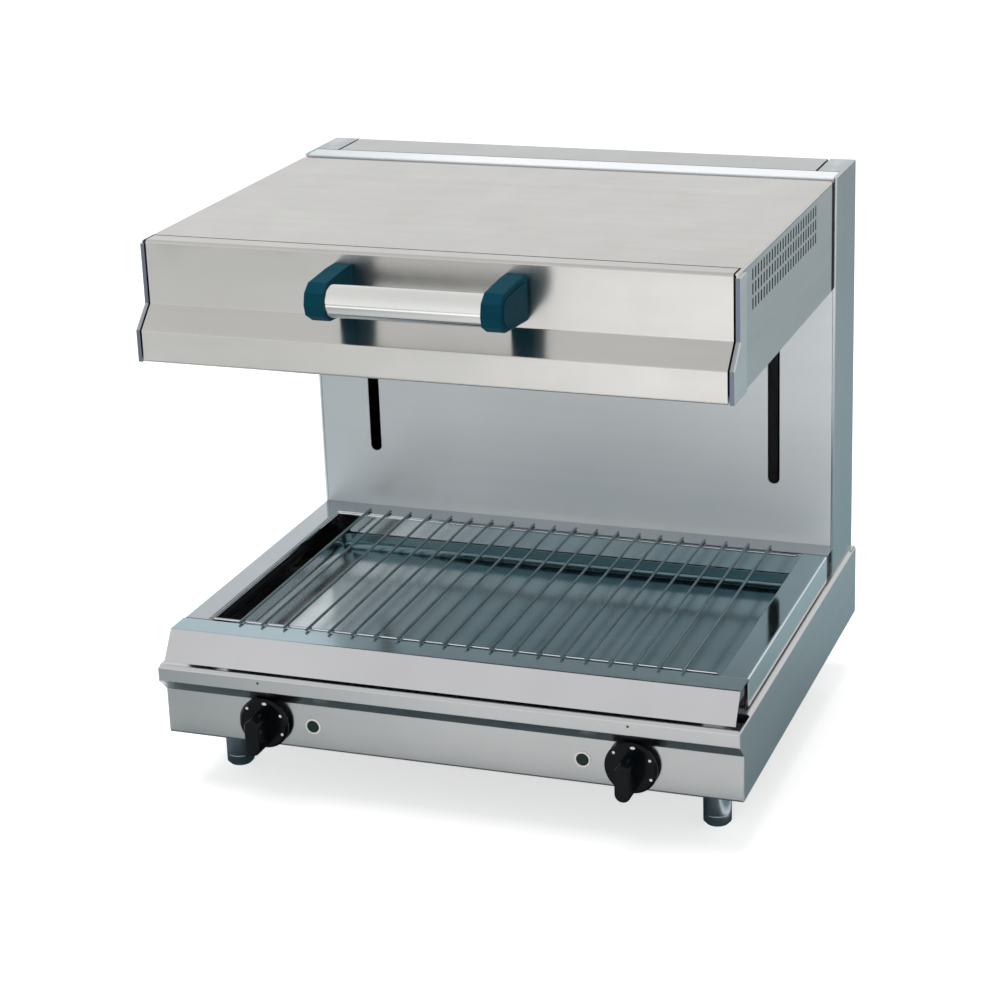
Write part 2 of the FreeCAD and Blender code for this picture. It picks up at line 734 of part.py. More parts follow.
def rod_bracket(low, tab_low):
    """Plate that holds one end of a guide rod, with a tab on the column's side wall."""
    depth = (ROD_Y - BRACKET_DEPTH / 2, ROD_Y + BRACKET_DEPTH / 2)
    plate = box((SLOT_X - BRACKET_REACH, COLUMN_INNER), depth, (low, low + BRACKET_PLATE))
    tab = box((COLUMN_INNER - BRACKET_PLATE / 2, COLUMN_INNER), depth, (tab_low, tab_low + BRACKET_TAB))
    return plate.fuse(tab).cut(guide_rod()).removeSplitter()


def rod_brackets():
    top = rod_bracket(ROD_HEAD - BRACKET_PLATE, ROD_HEAD - BRACKET_TAB)
    foot_plate = rod_bracket(ROD_FOOT, ROD_FOOT)
    return Part.makeCompound(both_sides([top, foot_plate]))


def gas_spring_cylinder():
    tube = rod(V(SPRING_X, ROD_Y, SPRING_FOOT), V(0, 0, 1), SPRING_RADIUS, SPRING_HEAD - SPRING_FOOT)
    bore_low = SPRING_FOOT + SPRING_END / 2
    bore = rod(V(SPRING_X, ROD_Y, bore_low), V(0, 0, 1), SPRING_ROD_RADIUS + RUN_FIT, SPRING_HEAD - bore_low)
    pin = rod(V(SPRING_X, ROD_Y, FLOOR_TOP + ANCHOR_TALL), V(0, 0, 1), ANCHOR_PIN, SPRING_FOOT - FLOOR_TOP - ANCHOR_TALL)
    return tube.cut(bore).fuse(pin).removeSplitter()


def spring_anchors():
    across = (SPRING_X - ANCHOR_HALF, SPRING_X + ANCHOR_HALF)
    depth = (ROD_Y - ANCHOR_HALF, ROD_Y + ANCHOR_HALF)
    return Part.makeCompound(both_sides([box(across, depth, (FLOOR_TOP, FLOOR_TOP + ANCHOR_TALL))]))


def regulator():
    half = REGULATOR_WIDTH / 2
    middle = V(KNOB_X, PANEL_SETBACK, KNOB_Z)
    depth = (PANEL_INSIDE, PANEL_INSIDE + REGULATOR_DEPTH)
    low = FLOOR_TOP + REGULATOR_FLOOR_GAP
    body = box((KNOB_X - half, KNOB_X + half), depth, (low, KNOB_Z + REGULATOR_ABOVE))
    neck = rod(middle, V(0, 1, 0), REGULATOR_NECK, SHEET + OVERRUN)
    bore = rod(middle, V(0, 1, 0), SPINDLE_RADIUS + RUN_FIT, SPINDLE_IN_REGULATOR + OVERRUN)
    return body.fuse(neck).cut(bore).removeSplitter()


def pilot_lamp():
    profile = [
        ring(0, LAMP_LENGTH),
        ring(LAMP_BARREL, LAMP_LENGTH),
        ring(LAMP_BARREL, 0),
        ring(LAMP_RADIUS, 0),
        ring(LAMP_RADIUS, -LAMP_RISE + LAMP_DOME),
        ring(LAMP_RADIUS - LAMP_DOME, -LAMP_RISE),
        ring(0, -LAMP_RISE),
    ]
    return revolved(profile, V(LAMP_X, PANEL_SETBACK, LAMP_Z), V(0, 1, 0))


def terminal_block():
    back = BASE_DEPTH - TERMINAL_BACK_GAP
    high = FLOOR_TOP + TERMINAL_TALL
    half = TERMINAL_LENGTH / 2
    body = box((-half, half), (back - TERMINAL_DEPTH, back), (FLOOR_TOP, high))
    pitch = TERMINAL_LENGTH / TERMINAL_WAYS
    holes = []
    for k in range(TERMINAL_WAYS):
        x = -half + pitch / 2 + pitch * k
        start = V(x, back - TERMINAL_DEPTH / 2, high - TERMINAL_SCREW_DEPTH)
        holes.append(rod(start, V(0, 0, 1), TERMINAL_SCREW, TERMINAL_SCREW_DEPTH))
    return body.cut(holes)


def cable_gland():
    """Cable entry: thread and nut inside, six-sided collar and domed cap outside, bored through."""
    centre = V(GLAND_X, BASE_DEPTH, BASE_UNDER + GLAND_HEIGHT)
    inside = BASE_DEPTH - SHEET
    collar = hexagon(centre, V(0, 1, 0), GLAND_ACROSS, GLAND_HEX)
    nut = hexagon(V(centre.x, inside - GLAND_NUT, centre.z), V(0, 1, 0), GLAND_ACROSS, GLAND_NUT)
    thread = rod(V(centre.x, inside - GLAND_TAIL, centre.z), V(0, 1, 0), GLAND_THREAD, GLAND_TAIL + SHEET)
    dome = revolved(
        [
            ring(0, GLAND_HEX),
            ring(GLAND_DOME_RADIUS, GLAND_HEX),
            ring(GLAND_DOME_RADIUS, GLAND_HEX + GLAND_DOME / 2),
            ring(GLAND_TIP_RADIUS, GLAND_HEX + GLAND_DOME),
            ring(0, GLAND_HEX + GLAND_DOME),
        ],
        centre,
        V(0, 1, 0),
    )
    bore = rod(V(centre.x, inside - GLAND_TAIL, centre.z), V(0, 1, 0), GLAND_BORE, REAR_REACH)
    return collar.fuse([nut, thread, dome]).cut(bore).removeSplitter()


def hood_front_line():
    """The hood's front face from its underside to its top."""
    return [
        (HOOD_FRONT_LOW, HOOD_UNDER),
        (HOOD_FRONT_LOW, FLARE_LOW),
        (HOOD_FRONT_UP, FLARE_HIGH),
        (HOOD_FRONT_UP, HOOD_TOP - HOOD_LIP_BEVEL),
        (HOOD_FRONT_UP + HOOD_LIP_BEVEL, HOOD_TOP),
    ]


def hood_front_panel():
    lip_rear = HOOD_FRONT_UP + HOOD_LIP
    run = [(lip_rear, HOOD_TOP)] + hood_front_line()[::-1] + [(HOOD_FRONT_LOW + HOOD_RETURN, HOOD_UNDER)]
    panel = folded(run, along_x, -HOOD_PANEL_HALF, HOOD_PANEL_HALF)
    line = [(y + SHEET, z) for y, z in hood_front_line()[:4]]
    low_y, low_z = line[0]
    high_y, high_z = line[-1]
    web = line + [(high_y + HOOD_END_RETURN, high_z), (high_y + HOOD_END_RETURN, low_z + SHEET), (low_y, low_z + SHEET)]
    ends = prism(web[1:], along_x, HOOD_PANEL_HALF - SHEET, HOOD_PANEL_HALF)
    return panel.fuse(both_sides([ends])).removeSplitter()


def hood_profile(rear):
    """Outline of the hood's end from its front line back to the given depth."""
    top = HOOD_TOP - HOOD_TOP_EDGE
    line = [point for point in hood_front_line() if point[1] < top]
    return line + [(HOOD_FRONT_UP, top), (rear, top), (rear, HOOD_UNDER)]


def hood_cheek():
    """Plate outside the front of the hood's side; it covers the end of the folded front."""
    face = HOOD_HALF + CHEEK_SHEET
    plate = prism(hood_profile(CHEEK_REAR), along_x, HOOD_HALF, face)
    rims = []
    for edge in plate.Edges:
        ends = [vertex.Point for vertex in edge.Vertexes]
        on_face = all(abs(point.x - face) < RUN_FIT for point in ends)
        at_front = all(point.y < HOOD_FRONT_UP + RUN_FIT for point in ends)
        if on_face and at_front:
            rims.append(edge)
    return plate.makeFillet(CHEEK_ROUND, rims)


def hood_side():
    wall = prism(hood_profile(HOOD_BACK), along_x, HOOD_SIDE_INNER, HOOD_HALF)
    flange_y = (HOOD_FRONT_LOW + HOOD_RETURN + SEAM_GAP, HOOD_BACK - HOOD_RETURN - SEAM_GAP)
    flange_x = (HOOD_HALF - HOOD_RETURN, HOOD_SIDE_INNER)
    flange = box(flange_x, flange_y, (HOOD_UNDER, HOOD_UNDER + SHEET))
    wall = wall.fuse(flange).removeSplitter()
    pitch = (VENT_REAR - VENT_FRONT - VENT_WIDTH) / (VENT_COUNT - 1)
    vents = []
    for row in range(VENT_ROWS):
        high = HOOD_TOP - VENT_DROP - row * VENT_ROW_PITCH
        for k in range(VENT_COUNT):
            y = VENT_FRONT + k * pitch
            through = (HOOD_SIDE_INNER - OVERRUN, HOOD_HALF + OVERRUN)
            vents.append(box(through, (y, y + VENT_WIDTH), (high - VENT_TALL, high)))
    return wall.cut(Part.makeCompound(vents))


def hood_top():
    """Top sheet with rolled side edges; the front panel's lip takes its place at the front."""
    low = HOOD_TOP - HOOD_TOP_EDGE
    run = [(HOOD_HALF, low), (HOOD_HALF, HOOD_TOP), (-HOOD_HALF, HOOD_TOP), (-HOOD_HALF, low)]
    cover = folded(run, along_y, HOOD_FRONT_UP, HOOD_BACK)
    lip = HOOD_PANEL_HALF + HOOD_SHADOW_GAP
    depth = (HOOD_FRONT_UP - OVERRUN, HOOD_FRONT_UP + HOOD_LIP + HOOD_LIP_GAP)
    return cover.cut(box((-lip, lip), depth, (low, HOOD_TOP + OVERRUN)))


def hood_rear_panel():
    run = [
        (HOOD_BACK - HOOD_RETURN, HOOD_UNDER),
        (HOOD_BACK, HOOD_UNDER),
        (HOOD_BACK, HOOD_TOP - SHEET - SEAM_GAP),
    ]
    return folded(run, along_x, -HOOD_SIDE_INNER, HOOD_SIDE_INNER)


def hood_seal():
    """Strip on the hood's back edge that closes the gap to the column and just clears its panel."""
    across = (HOOD_HALF - SEAL_WIDTH, HOOD_HALF)
    return box(across, (HOOD_BACK, COLUMN_FRONT - SEAL_CLEAR), (HOOD_UNDER, HOOD_TOP - HOOD_TOP_EDGE))


def frustum(inset, low, high):
    """Tapered block under the hood: wide at its mouth, drawn in at its roof."""
    rings = []
    for z in (low, high):
        draw = inset + REFLECTOR_DRAFT * (z - REFLECTOR_LOW) / REFLECTOR_DEPTH
        half = REFLECTOR_HALF - draw
        front = REFLECTOR_FRONT + draw
        rear = REFLECTOR_REAR - draw
        corners = [V(-half, front, z), V(half, front, z), V(half, rear, z), V(-half, rear, z)]
        rings.append(Part.makePolygon(corners + corners[:1]))
    return Part.makeLoft(rings, True, True)


def element(radius):
    """Tubular heater bent into parallel runs, with both tails at the rear."""
    xs = [ELEMENT_INNER_X + k * ELEMENT_PITCH for k in range(ELEMENT_RUNS)]
    turn = ELEMENT_PITCH / 2
    near = ELEMENT_FRONT + turn
    far = ELEMENT_BACK - turn
    edges = []
    start = V(xs[0], ELEMENT_TAIL, ELEMENT_Z)
    for k, x in enumerate(xs):
        forward = k % 2 == 0
        last = k == ELEMENT_RUNS - 1
        end_y = ELEMENT_TAIL if last else (near if forward else far)
        end = V(x, end_y, ELEMENT_Z)
        edges.append(Part.makeLine(start, end))
        if not last:
            reach = -turn if forward else turn
            crown = V(x + turn, end_y + reach, ELEMENT_Z)
            start = V(xs[k + 1], end_y, ELEMENT_Z)
            edges.append(Part.Arc(end, crown, start).toShape())
    ring = Part.Wire(Part.Circle(V(xs[0], ELEMENT_TAIL, ELEMENT_Z), V(0, 1, 0), radius).toShape())
    return Part.Wire(edges).makePipeShell([ring], True, False)


def element_tails(radius):
    rows = (ELEMENT_INNER_X, ELEMENT_INNER_X + (ELEMENT_RUNS - 1) * ELEMENT_PITCH)
    return [rod(V(x, ELEMENT_BACK, ELEMENT_Z), V(0, 1, 0), radius, ELEMENT_TAIL - ELEMENT_BACK) for x in rows]


def reflector():
    """Bright inverted pan over the heaters, with a flange that lies on the hood's bottom returns."""
    roof = REFLECTOR_ROOF
    shell = frustum(-SHEET, REFLECTOR_LOW, roof + SHEET).cut(frustum(0, REFLECTOR_LOW, roof))
    mouth = frustum(0, REFLECTOR_LOW, roof)
    across = HOOD_PANEL_HALF - SHEET - SEAM_GAP
    depth = (HOOD_FRONT_LOW + SHEET + BEND, HOOD_BACK - SHEET - BEND)
    flange = box((-across, across), depth, (REFLECTOR_LOW, REFLECTOR_LOW + SHEET)).cut(mouth)
    body = shell.fuse(flange).removeSplitter()
    return body.cut(both_sides(element_tails(ELEMENT_RADIUS + REST_GAP)))


def element_holders():
    """Two hangers under the reflector's roof that the heaters pass through."""
    half = ELEMENT_INNER_X + (ELEMENT_RUNS - 1) * ELEMENT_PITCH + ELEMENT_RADIUS + HOLDER_DROP / 2
    low = ELEMENT_Z - HOLDER_DROP
    hangers = []
    for y in (ELEMENT_FRONT + HOLDER_INSET, ELEMENT_BACK - HOLDER_INSET):
        plate = box((-half, half), (y, y + HOLDER_SHEET), (low, REFLECTOR_ROOF))
        holes = []
        for k in range(ELEMENT_RUNS):
            start = V(ELEMENT_INNER_X + k * ELEMENT_PITCH, y - OVERRUN, ELEMENT_Z)
            holes.append(rod(start, V(0, 1, 0), ELEMENT_RADIUS + RUN_FIT, HOLDER_SHEET + 2 * OVERRUN))
        hangers.append(plate.cut(both_sides(holes)))
    return Part.makeCompound(hangers)


def insulation_slab():
    half = REFLECTOR_HALF - REFLECTOR_DRAFT
    front = REFLECTOR_FRONT + INSULATION_INSET
    rear = REFLECTOR_REAR - INSULATION_INSET
    low = REFLECTOR_ROOF + SHEET
    return box((-half, half), (front, rear), (low, HOOD_TOP - SHEET - INSULATION_TOP_GAP))


def handle_outline(inset):
    """Side view of a handle bracket: flat foot on the hood, bevelled nose about the bar."""
    outline = []
    for out_share, up_share in HANDLE_OUTLINE_SHARES:
        y = HANDLE_Y + (HANDLE_REACH if out_share > 0 else HANDLE_NOSE) * out_share
        z = HANDLE_Z + (HANDLE_ABOVE if up_share > 0 else HANDLE_BELOW) * up_share
        y_inset = inset if out_share < 0 else -inset
        z_inset = -inset if up_share > 0 else inset
        outline.append((y + y_inset * abs(out_share), z + z_inset * abs(up_share)))
    return outline


def handle_bracket():
    outer = HANDLE_INNER + HANDLE_BRACKET
    body = prism(handle_outline(0), along_x, HANDLE_INNER, outer)
    rims = []
    for edge in body.Edges:
        ends = [vertex.Point for vertex in edge.Vertexes]
        on_face = all(abs(point.x - outer) < RUN_FIT for point in ends)
        at_hood = all(abs(point.y - HOOD_FRONT_UP) < RUN_FIT for point in ends)
        if on_face and not at_hood:
            rims.append(edge)
    body = body.makeFillet(HANDLE_EDGE, rims)
    pad = prism(handle_outline(HANDLE_PAD_INSET), along_x, outer, outer + HANDLE_PAD)
    centre = V(HANDLE_INNER, HANDLE_Y, HANDLE_Z)
    socket = rod(centre, V(1, 0, 0), HANDLE_BAR_RADIUS + RUN_FIT, HANDLE_SOCKET)
    return body.fuse(pad).cut(socket).removeSplitter()


def handle_bar():
    half = HANDLE_INNER + HANDLE_SOCKET
    start = V(-half, HANDLE_Y, HANDLE_Z)
    tube = rod(start, V(1, 0, 0), HANDLE_BAR_RADIUS, 2 * half)
    return tube.cut(rod(start, V(1, 0, 0), HANDLE_BAR_RADIUS - HANDLE_BAR_WALL, 2 * half))


def carriage():
    """Block that rides a guide rod, bored for the two bushes."""
    depth = (ROD_Y - CARRIAGE_DEPTH / 2, ROD_Y + CARRIAGE_DEPTH / 2)
    block = box((SLOT_X - CARRIAGE_HALF, SLOT_X + CARRIAGE_HALF), depth, (CARRIAGE_LOW, CARRIAGE_TOP))
    bore = rod(V(SLOT_X, ROD_Y, CARRIAGE_LOW), V(0, 0, 1), BUSH_RADIUS, CARRIAGE_HEIGHT)
    return block.cut(bore)


def slide_bushes():
    bushes = []
    for z in (CARRIAGE_LOW, CARRIAGE_TOP - BUSH_LENGTH):
        start = V(SLOT_X, ROD_Y, z)
        bush = rod(start, V(0, 0, 1), BUSH_RADIUS, BUSH_LENGTH)
        bushes.append(bush.cut(rod(start, V(0, 0, 1), ROD_RADIUS + RUN_FIT, BUSH_LENGTH)))
    return Part.makeCompound(both_sides(bushes))


def hood_arm():
    """Web through the column's slot, with a flange on the hood's back."""
    level = (ARM_LOW, CARRIAGE_TOP - ARM_EDGE_DROP)
    flange_y = (HOOD_BACK, HOOD_BACK + ARM_FLANGE_THICK)
    flange = box((SLOT_X - ARM_FLANGE_HALF, SLOT_X + ARM_FLANGE_HALF), flange_y, level)
    web_y = (HOOD_BACK, ROD_Y - CARRIAGE_DEPTH / 2)
    web = box((SLOT_X - ARM_THICK / 2, SLOT_X + ARM_THICK / 2), web_y, level)
    return flange.fuse(web).removeSplitter()


def carriage_crossbar():
    half = SLOT_X - CARRIAGE_HALF
    depth = (ROD_Y - CROSSBAR_DEPTH / 2, ROD_Y + CROSSBAR_DEPTH / 2)
    return box((-half, half), depth, (CROSSBAR_LOW, CROSSBAR_TOP))


def gas_spring_rod():
    return rod(V(SPRING_X, ROD_Y, SPRING_ROD_LOW), V(0, 0, 1), SPRING_ROD_RADIUS, CROSSBAR_LOW - SPRING_ROD_LOW)


def pan():
    """Shallow pressed pan with round corners all the way."""
    def block(grow, low, high, corner):
        across = (-PAN_HALF - grow, PAN_HALF + grow)
        depth = (RIM_FRONT - grow, PAN_REAR + grow)
        body = box(across, depth, (low, high))
        rims = []
        for edge in body.Edges:
            ends = [vertex.Point for vertex in edge.Vertexes]
            if not all(abs(point.z - high) < RUN_FIT for point in ends):
                rims.append(edge)
        return body.makeFillet(corner, rims)
    outside = block(SHEET, PAN_UNDER, PAN_RIM, PAN_CORNER + SHEET)
    inside = block(0, PAN_FLOOR, PAN_RIM + PAN_DEPTH, PAN_CORNER)
    return outside.cut(inside)


def drip_tray():
    """Pressed pan, front wall, lip and sloping front in one lift-out sheet piece."""
    slope_foot = BASE_TOP + TRAY_CLEAR
    front = [
        (LIP_REAR, DECK_TOP - RIM_HEM),
        (LIP_REAR, DECK_TOP),
        (TRAY_SLOPE_TOP, DECK_TOP),
        (TRAY_SLOPE_FOOT, slope_foot),
    ]
    lip = folded(front, along_x, -DECK_HALF, DECK_HALF)
    wall_half = PAN_HALF - PAN_CORNER
    wall_y = (LIP_REAR - SHEET, LIP_REAR)
    wall = box((-wall_half, wall_half), wall_y, (PAN_RIM - PAN_DEPTH / 2, DECK_TOP - RIM_HEM))
    return pan().fuse([lip, wall]).removeSplitter()


def wire_rack():
    """Row of straight wires welded over two cross wires that drop inside the deck's opening."""
    level = DECK_TOP + REST_GAP + WIRE_RADIUS
    under = level - 2 * WIRE_RADIUS + WIRE_WELD
    pitch = 2 * RACK_HALF / (RACK_WIRES - 1)
    reach = OPENING_HALF - RACK_CROSS_GAP
    wires = []
    for k in range(RACK_WIRES):
        start = V(-RACK_HALF + k * pitch, RACK_FRONT, level)
        wires.append(rod(start, V(0, 1, 0), WIRE_RADIUS, RACK_REAR - RACK_FRONT))
    crosses = []
    for y in (RIM_FRONT + RACK_CROSS_INSET, OPENING_REAR - RACK_CROSS_INSET):
        crosses.append(rod(V(-reach, y, under), V(1, 0, 0), WIRE_RADIUS, 2 * reach))
    return crosses[0].fuse(crosses[1:] + wires)


def knob():
    """Round skirt with a raised pointer grip across it."""
    back = PANEL_SETBACK - KNOB_STANDOFF
    front = back - KNOB_SKIRT
    centre = V(KNOB_X, 0, KNOB_Z)
    skirt = revolved(
        [
            ring(0, back),
            ring(KNOB_RADIUS - KNOB_REAR_CONE, back),
            ring(KNOB_RADIUS, back - KNOB_REAR_CONE),
            ring(KNOB_RADIUS, front + KNOB_CONE),
            ring(KNOB_RADIUS - KNOB_CONE, front),
            ring(0, front),
        ],
        centre,
        V(0, 1, 0),
    )
    half = KNOB_GRIP_WIDTH / 2
    crown = KNOB_Z + KNOB_GRIP_UP
    heel = KNOB_Z - KNOB_GRIP_DOWN
    left, right = KNOB_X - half, KNOB_X + half
    corners = [V(left, 0, heel + half), V(left, 0, crown - half), V(right, 0, crown - half), V(right, 0, heel + half)]
    edges = [
        Part.makeLine(corners[0], corners[1]),
        Part.Arc(corners[1], V(KNOB_X, 0, crown), corners[2]).toShape(),
        Part.makeLine(corners[2], corners[3]),
        Part.Arc(corners[3], V(KNOB_X, 0, heel), corners[0]).toShape(),
    ]
    grip_front = front - KNOB_GRIP_RISE
    grip = pulled(edges, along_y, grip_front, front + KNOB_SKIRT / 2)
    rims = [edge for edge in grip.Edges if all(abs(v.Point.y - grip_front) < RUN_FIT for v in edge.Vertexes)]
    grip = grip.makeFillet(KNOB_EDGE, rims)
    socket = spindle_solid(0)
    return skirt.fuse(grip).cut(socket).removeSplitter()


def spindle_solid(shorter):
    """Flatted spindle from inside the knob's grip to inside the regulator."""
    front = PANEL_SETBACK - KNOB_STANDOFF - SPINDLE_IN_KNOB
    rear = PANEL_SETBACK + SPINDLE_IN_REGULATOR - shorter
    shaft = rod(V(KNOB_X, front, KNOB_Z), V(0, 1, 0), SPINDLE_RADIUS, rear - front)
    flat_y = (front, PANEL_SETBACK - KNOB_STANDOFF)
    flat_z = (KNOB_Z + SPINDLE_RADIUS - SPINDLE_FLAT, KNOB_Z + SPINDLE_RADIUS)
    return shaft.cut(box((KNOB_X - SPINDLE_RADIUS, KNOB_X + SPINDLE_RADIUS), flat_y, flat_z))


def save_pair(name, shape):
    save(name + "_right", shape)
    save(name + "_left", mirrored(shape))


def save_group(name, shape):
    """Writes the left and right copies of a small piece as the two solids of one node."""
    save(name, Part.makeCompound(both_sides([shape])))


def main():
    os.makedirs("parts", exist_ok=True)
    save_pair("base_side", base_side())
    save("front_panel", front_panel())
    save("base_floor", base_floor())
    save("base_rear_panel", base_rear_panel())
    leg = foot()
    for name, place in foot_places().items():
        save("foot_" + name, leg.translated(place))
    save("foot_nuts", foot_nuts())
    save("deck_frame", deck_frame())
    save("deck_rim_right", deck_rim())
    save_group("deck_rails", deck_rail())
    save("tray_bars", tray_bars())
    save("column_front_panel", column_front_panel())
    save_pair("column_side", column_side())
    save("column_rear_cover", column_rear_cover())
    save("cover_screws", cover_screws())
    save_pair("guide_rod", guide_rod())
    save("rod_brackets", rod_brackets())
    save_pair("gas_spring_cylinder", gas_spring_cylinder())
    save("spring_anchors", spring_anchors())
    save_pair("regulator", regulator())
    save_pair("pilot_lamp", pilot_lamp())
    save("terminal_block", terminal_block())
    save("cable_gland", cable_gland())
    save("hood_front_panel", hood_front_panel())
    save_pair("hood_side", hood_side())
    save_group("hood_cheeks", hood_cheek())
    save("hood_top", hood_top())
    save("hood_rear_panel", hood_rear_panel())
    save_group("hood_seals", hood_seal())
    save("reflector", reflector())
    save_pair("heating_element", element(ELEMENT_RADIUS))
    save("element_holders", element_holders())
    save("insulation_slab", insulation_slab())
    save_pair("handle_bracket", handle_bracket())
    save("handle_bar", handle_bar())
    save_pair("carriage", carriage())
    save("slide_bushes", slide_bushes())
    save_pair("hood_arm", hood_arm())
    save("carriage_crossbar", carriage_crossbar())
    save_pair("gas_spring_rod", gas_spring_rod())
    save("drip_tray", drip_tray())
    save("wire_rack", wire_rack())
    save_pair("knob", knob())
    save_pair("spindle", spindle_solid(REST_GAP))


main()
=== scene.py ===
import math

import bmesh
import bpy
from mathutils import Euler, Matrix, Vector

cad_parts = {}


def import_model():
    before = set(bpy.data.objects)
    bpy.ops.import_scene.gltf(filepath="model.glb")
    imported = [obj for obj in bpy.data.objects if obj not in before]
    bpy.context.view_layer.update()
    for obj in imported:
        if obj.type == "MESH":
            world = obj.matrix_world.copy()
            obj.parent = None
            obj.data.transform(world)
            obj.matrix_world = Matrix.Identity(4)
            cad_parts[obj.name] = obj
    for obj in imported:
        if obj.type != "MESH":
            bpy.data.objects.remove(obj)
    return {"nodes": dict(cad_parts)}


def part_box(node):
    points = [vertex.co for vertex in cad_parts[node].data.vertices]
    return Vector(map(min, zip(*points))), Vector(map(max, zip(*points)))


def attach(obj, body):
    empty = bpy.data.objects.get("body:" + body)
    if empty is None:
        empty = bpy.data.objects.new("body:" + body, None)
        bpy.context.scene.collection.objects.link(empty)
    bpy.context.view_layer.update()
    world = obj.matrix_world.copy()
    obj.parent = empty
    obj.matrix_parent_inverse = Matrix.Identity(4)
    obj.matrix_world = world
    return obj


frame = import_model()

# Metres, in the part's frame: +X right, +Y back, +Z up, origin on the floor under the middle of the part.
MM = 0.001
X, Y, Z = Vector((1, 0, 0)), Vector((0, 1, 0)), Vector((0, 0, 1))
NODES = frame["nodes"]
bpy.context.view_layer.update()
SIDES = {"left": -1, "right": 1}

# Camera, solved from the photograph's straight edges
PHOTO_PIXELS = 1000.0
FOCAL_PIXELS = 2530.6
CENTRE_PIXELS = (550.5, 469.5)
CAMERA_PLACE = (0.8452, -2.3052, 1.1406)
CAMERA_TURN = (1.23556, 0.08518, 0.24641)
SENSOR_WIDTH = 36.0

# Studio
FLOOR_HALF = 12.0
FLOOR_TONE = 0.85
FLOOR_LIFT = 0.62
WORLD_LEVEL = 0.45
OVERHEAD_LEVEL = 0.80
AIM = (0.0, 0.0, 0.3)
KEY = {"place": (-0.5, 0.1, 3.2), "size": 2.6, "power": 62.0}
FILL = {"place": (0.3, -2.8, 0.8), "size": 1.4, "power": 13.5}

# Grey boards that lie on the floor round the part and only show in its bright sheets.
# The tone of a board changes over the ramp, which is a range of X.
BOARD_LIFT = 1.5 * MM
# Tone of the board under the base: painted shade that stands in for the shadow on the floor beneath it.
UNDER_SHADE_TONE = (0.14, 0.19, 0.21)
BOARDS = {
    "side_board": {
        "area": ((0.303, 3.2), (-0.9, 4.0)),
        "tones": ((0.29, 0.43, 0.47), (0.56, 0.64, 0.67)),
        "ramp": (0.30, 0.85),
    },
    # Board in front of the base: its darker left end is painted shade, standing in for shade on the floor in
    # front of the base.
    "front_shade_board": {
        "area": ((-0.9, 0.3), (-1.25, -0.33)),
        "tones": ((0.46, 0.50, 0.51), (0.97, 0.98, 0.98)),
        "ramp": (-0.45, -0.05),
    },
    "left_board": {
        "area": ((-3.2, -0.62), (-3.2, -1.80)),
        "tones": ((0.56, 0.57, 0.57), (0.76, 0.77, 0.77)),
        "ramp": (-1.3, -0.62),
    },
    # Dark board under the base: painted shade for the shaded floor there, seen only in the metal.
    "under_shade_board": {
        "area": ((-0.36, 0.29), (-0.33, 0.25)),
        "tones": (UNDER_SHADE_TONE, UNDER_SHADE_TONE),
        "ramp": (-0.3, 0.3),
    },
}

# Finishes. A pair of tones is a material's darker and lighter colour, and rough is its range of roughness.
GRAIN_STRENGTH = 0.65
LINE_ROUGHNESS = 0.008
# Warm tones of the hood's sheets: a warm tint that is painted light, standing in for the warm light on the
# hood's lit top and front.
WARM_LIT_TONES = ((0.555, 0.547, 0.528), (0.605, 0.597, 0.576))
COOL = ((0.550, 0.558, 0.560), (0.605, 0.613, 0.615))
BRUSHED = {
    "hood_sheet": {"grain": X, "tones": WARM_LIT_TONES, "rough": (0.20, 0.26)},
    "front_sheet": {"grain": X, "tones": COOL, "rough": (0.16, 0.22), "stretch": 0.4},
    "cover_sheet": {"grain": X, "tones": COOL, "rough": (0.295, 0.36)},
    "wall_sheet": {"grain": Y, "tones": COOL, "rough": (0.295, 0.35)},
    "upright_sheet": {
        "grain": Z,
        "tones": ((0.49, 0.54, 0.555), (0.55, 0.60, 0.615)),
        "rough": (0.295, 0.35),
    },
    "grip_tube": {
        "grain": X,
        "tones": ((0.74, 0.74, 0.72), (0.82, 0.82, 0.80)),
        "rough": (0.14, 0.20),
        "stretch": 0.0,
    },
}
PLAIN_METALS = {
    # Near-black rods inside the column: painted shade, so that the slots in the column read dark.
    "slot_shade_rod": {"tones": ((0.03, 0.032, 0.035), (0.06, 0.063, 0.067)), "rough": (0.14, 0.24)},
    "foot_steel": {"tones": ((0.50, 0.58, 0.61), (0.60, 0.67, 0.70)), "rough": (0.19, 0.26)},
    "bright_reflector": {
        "tones": ((0.26, 0.27, 0.28), (0.40, 0.40, 0.40)),
        "rough": (0.16, 0.26),
        "cells": 9.0,
    },
    "bearing_bronze": {"tones": ((0.48, 0.31, 0.12), (0.66, 0.46, 0.22)), "rough": (0.29, 0.42)},
    "carriage_alloy": {"tones": ((0.55, 0.56, 0.57), (0.66, 0.67, 0.68)), "rough": (0.30, 0.45)},
}
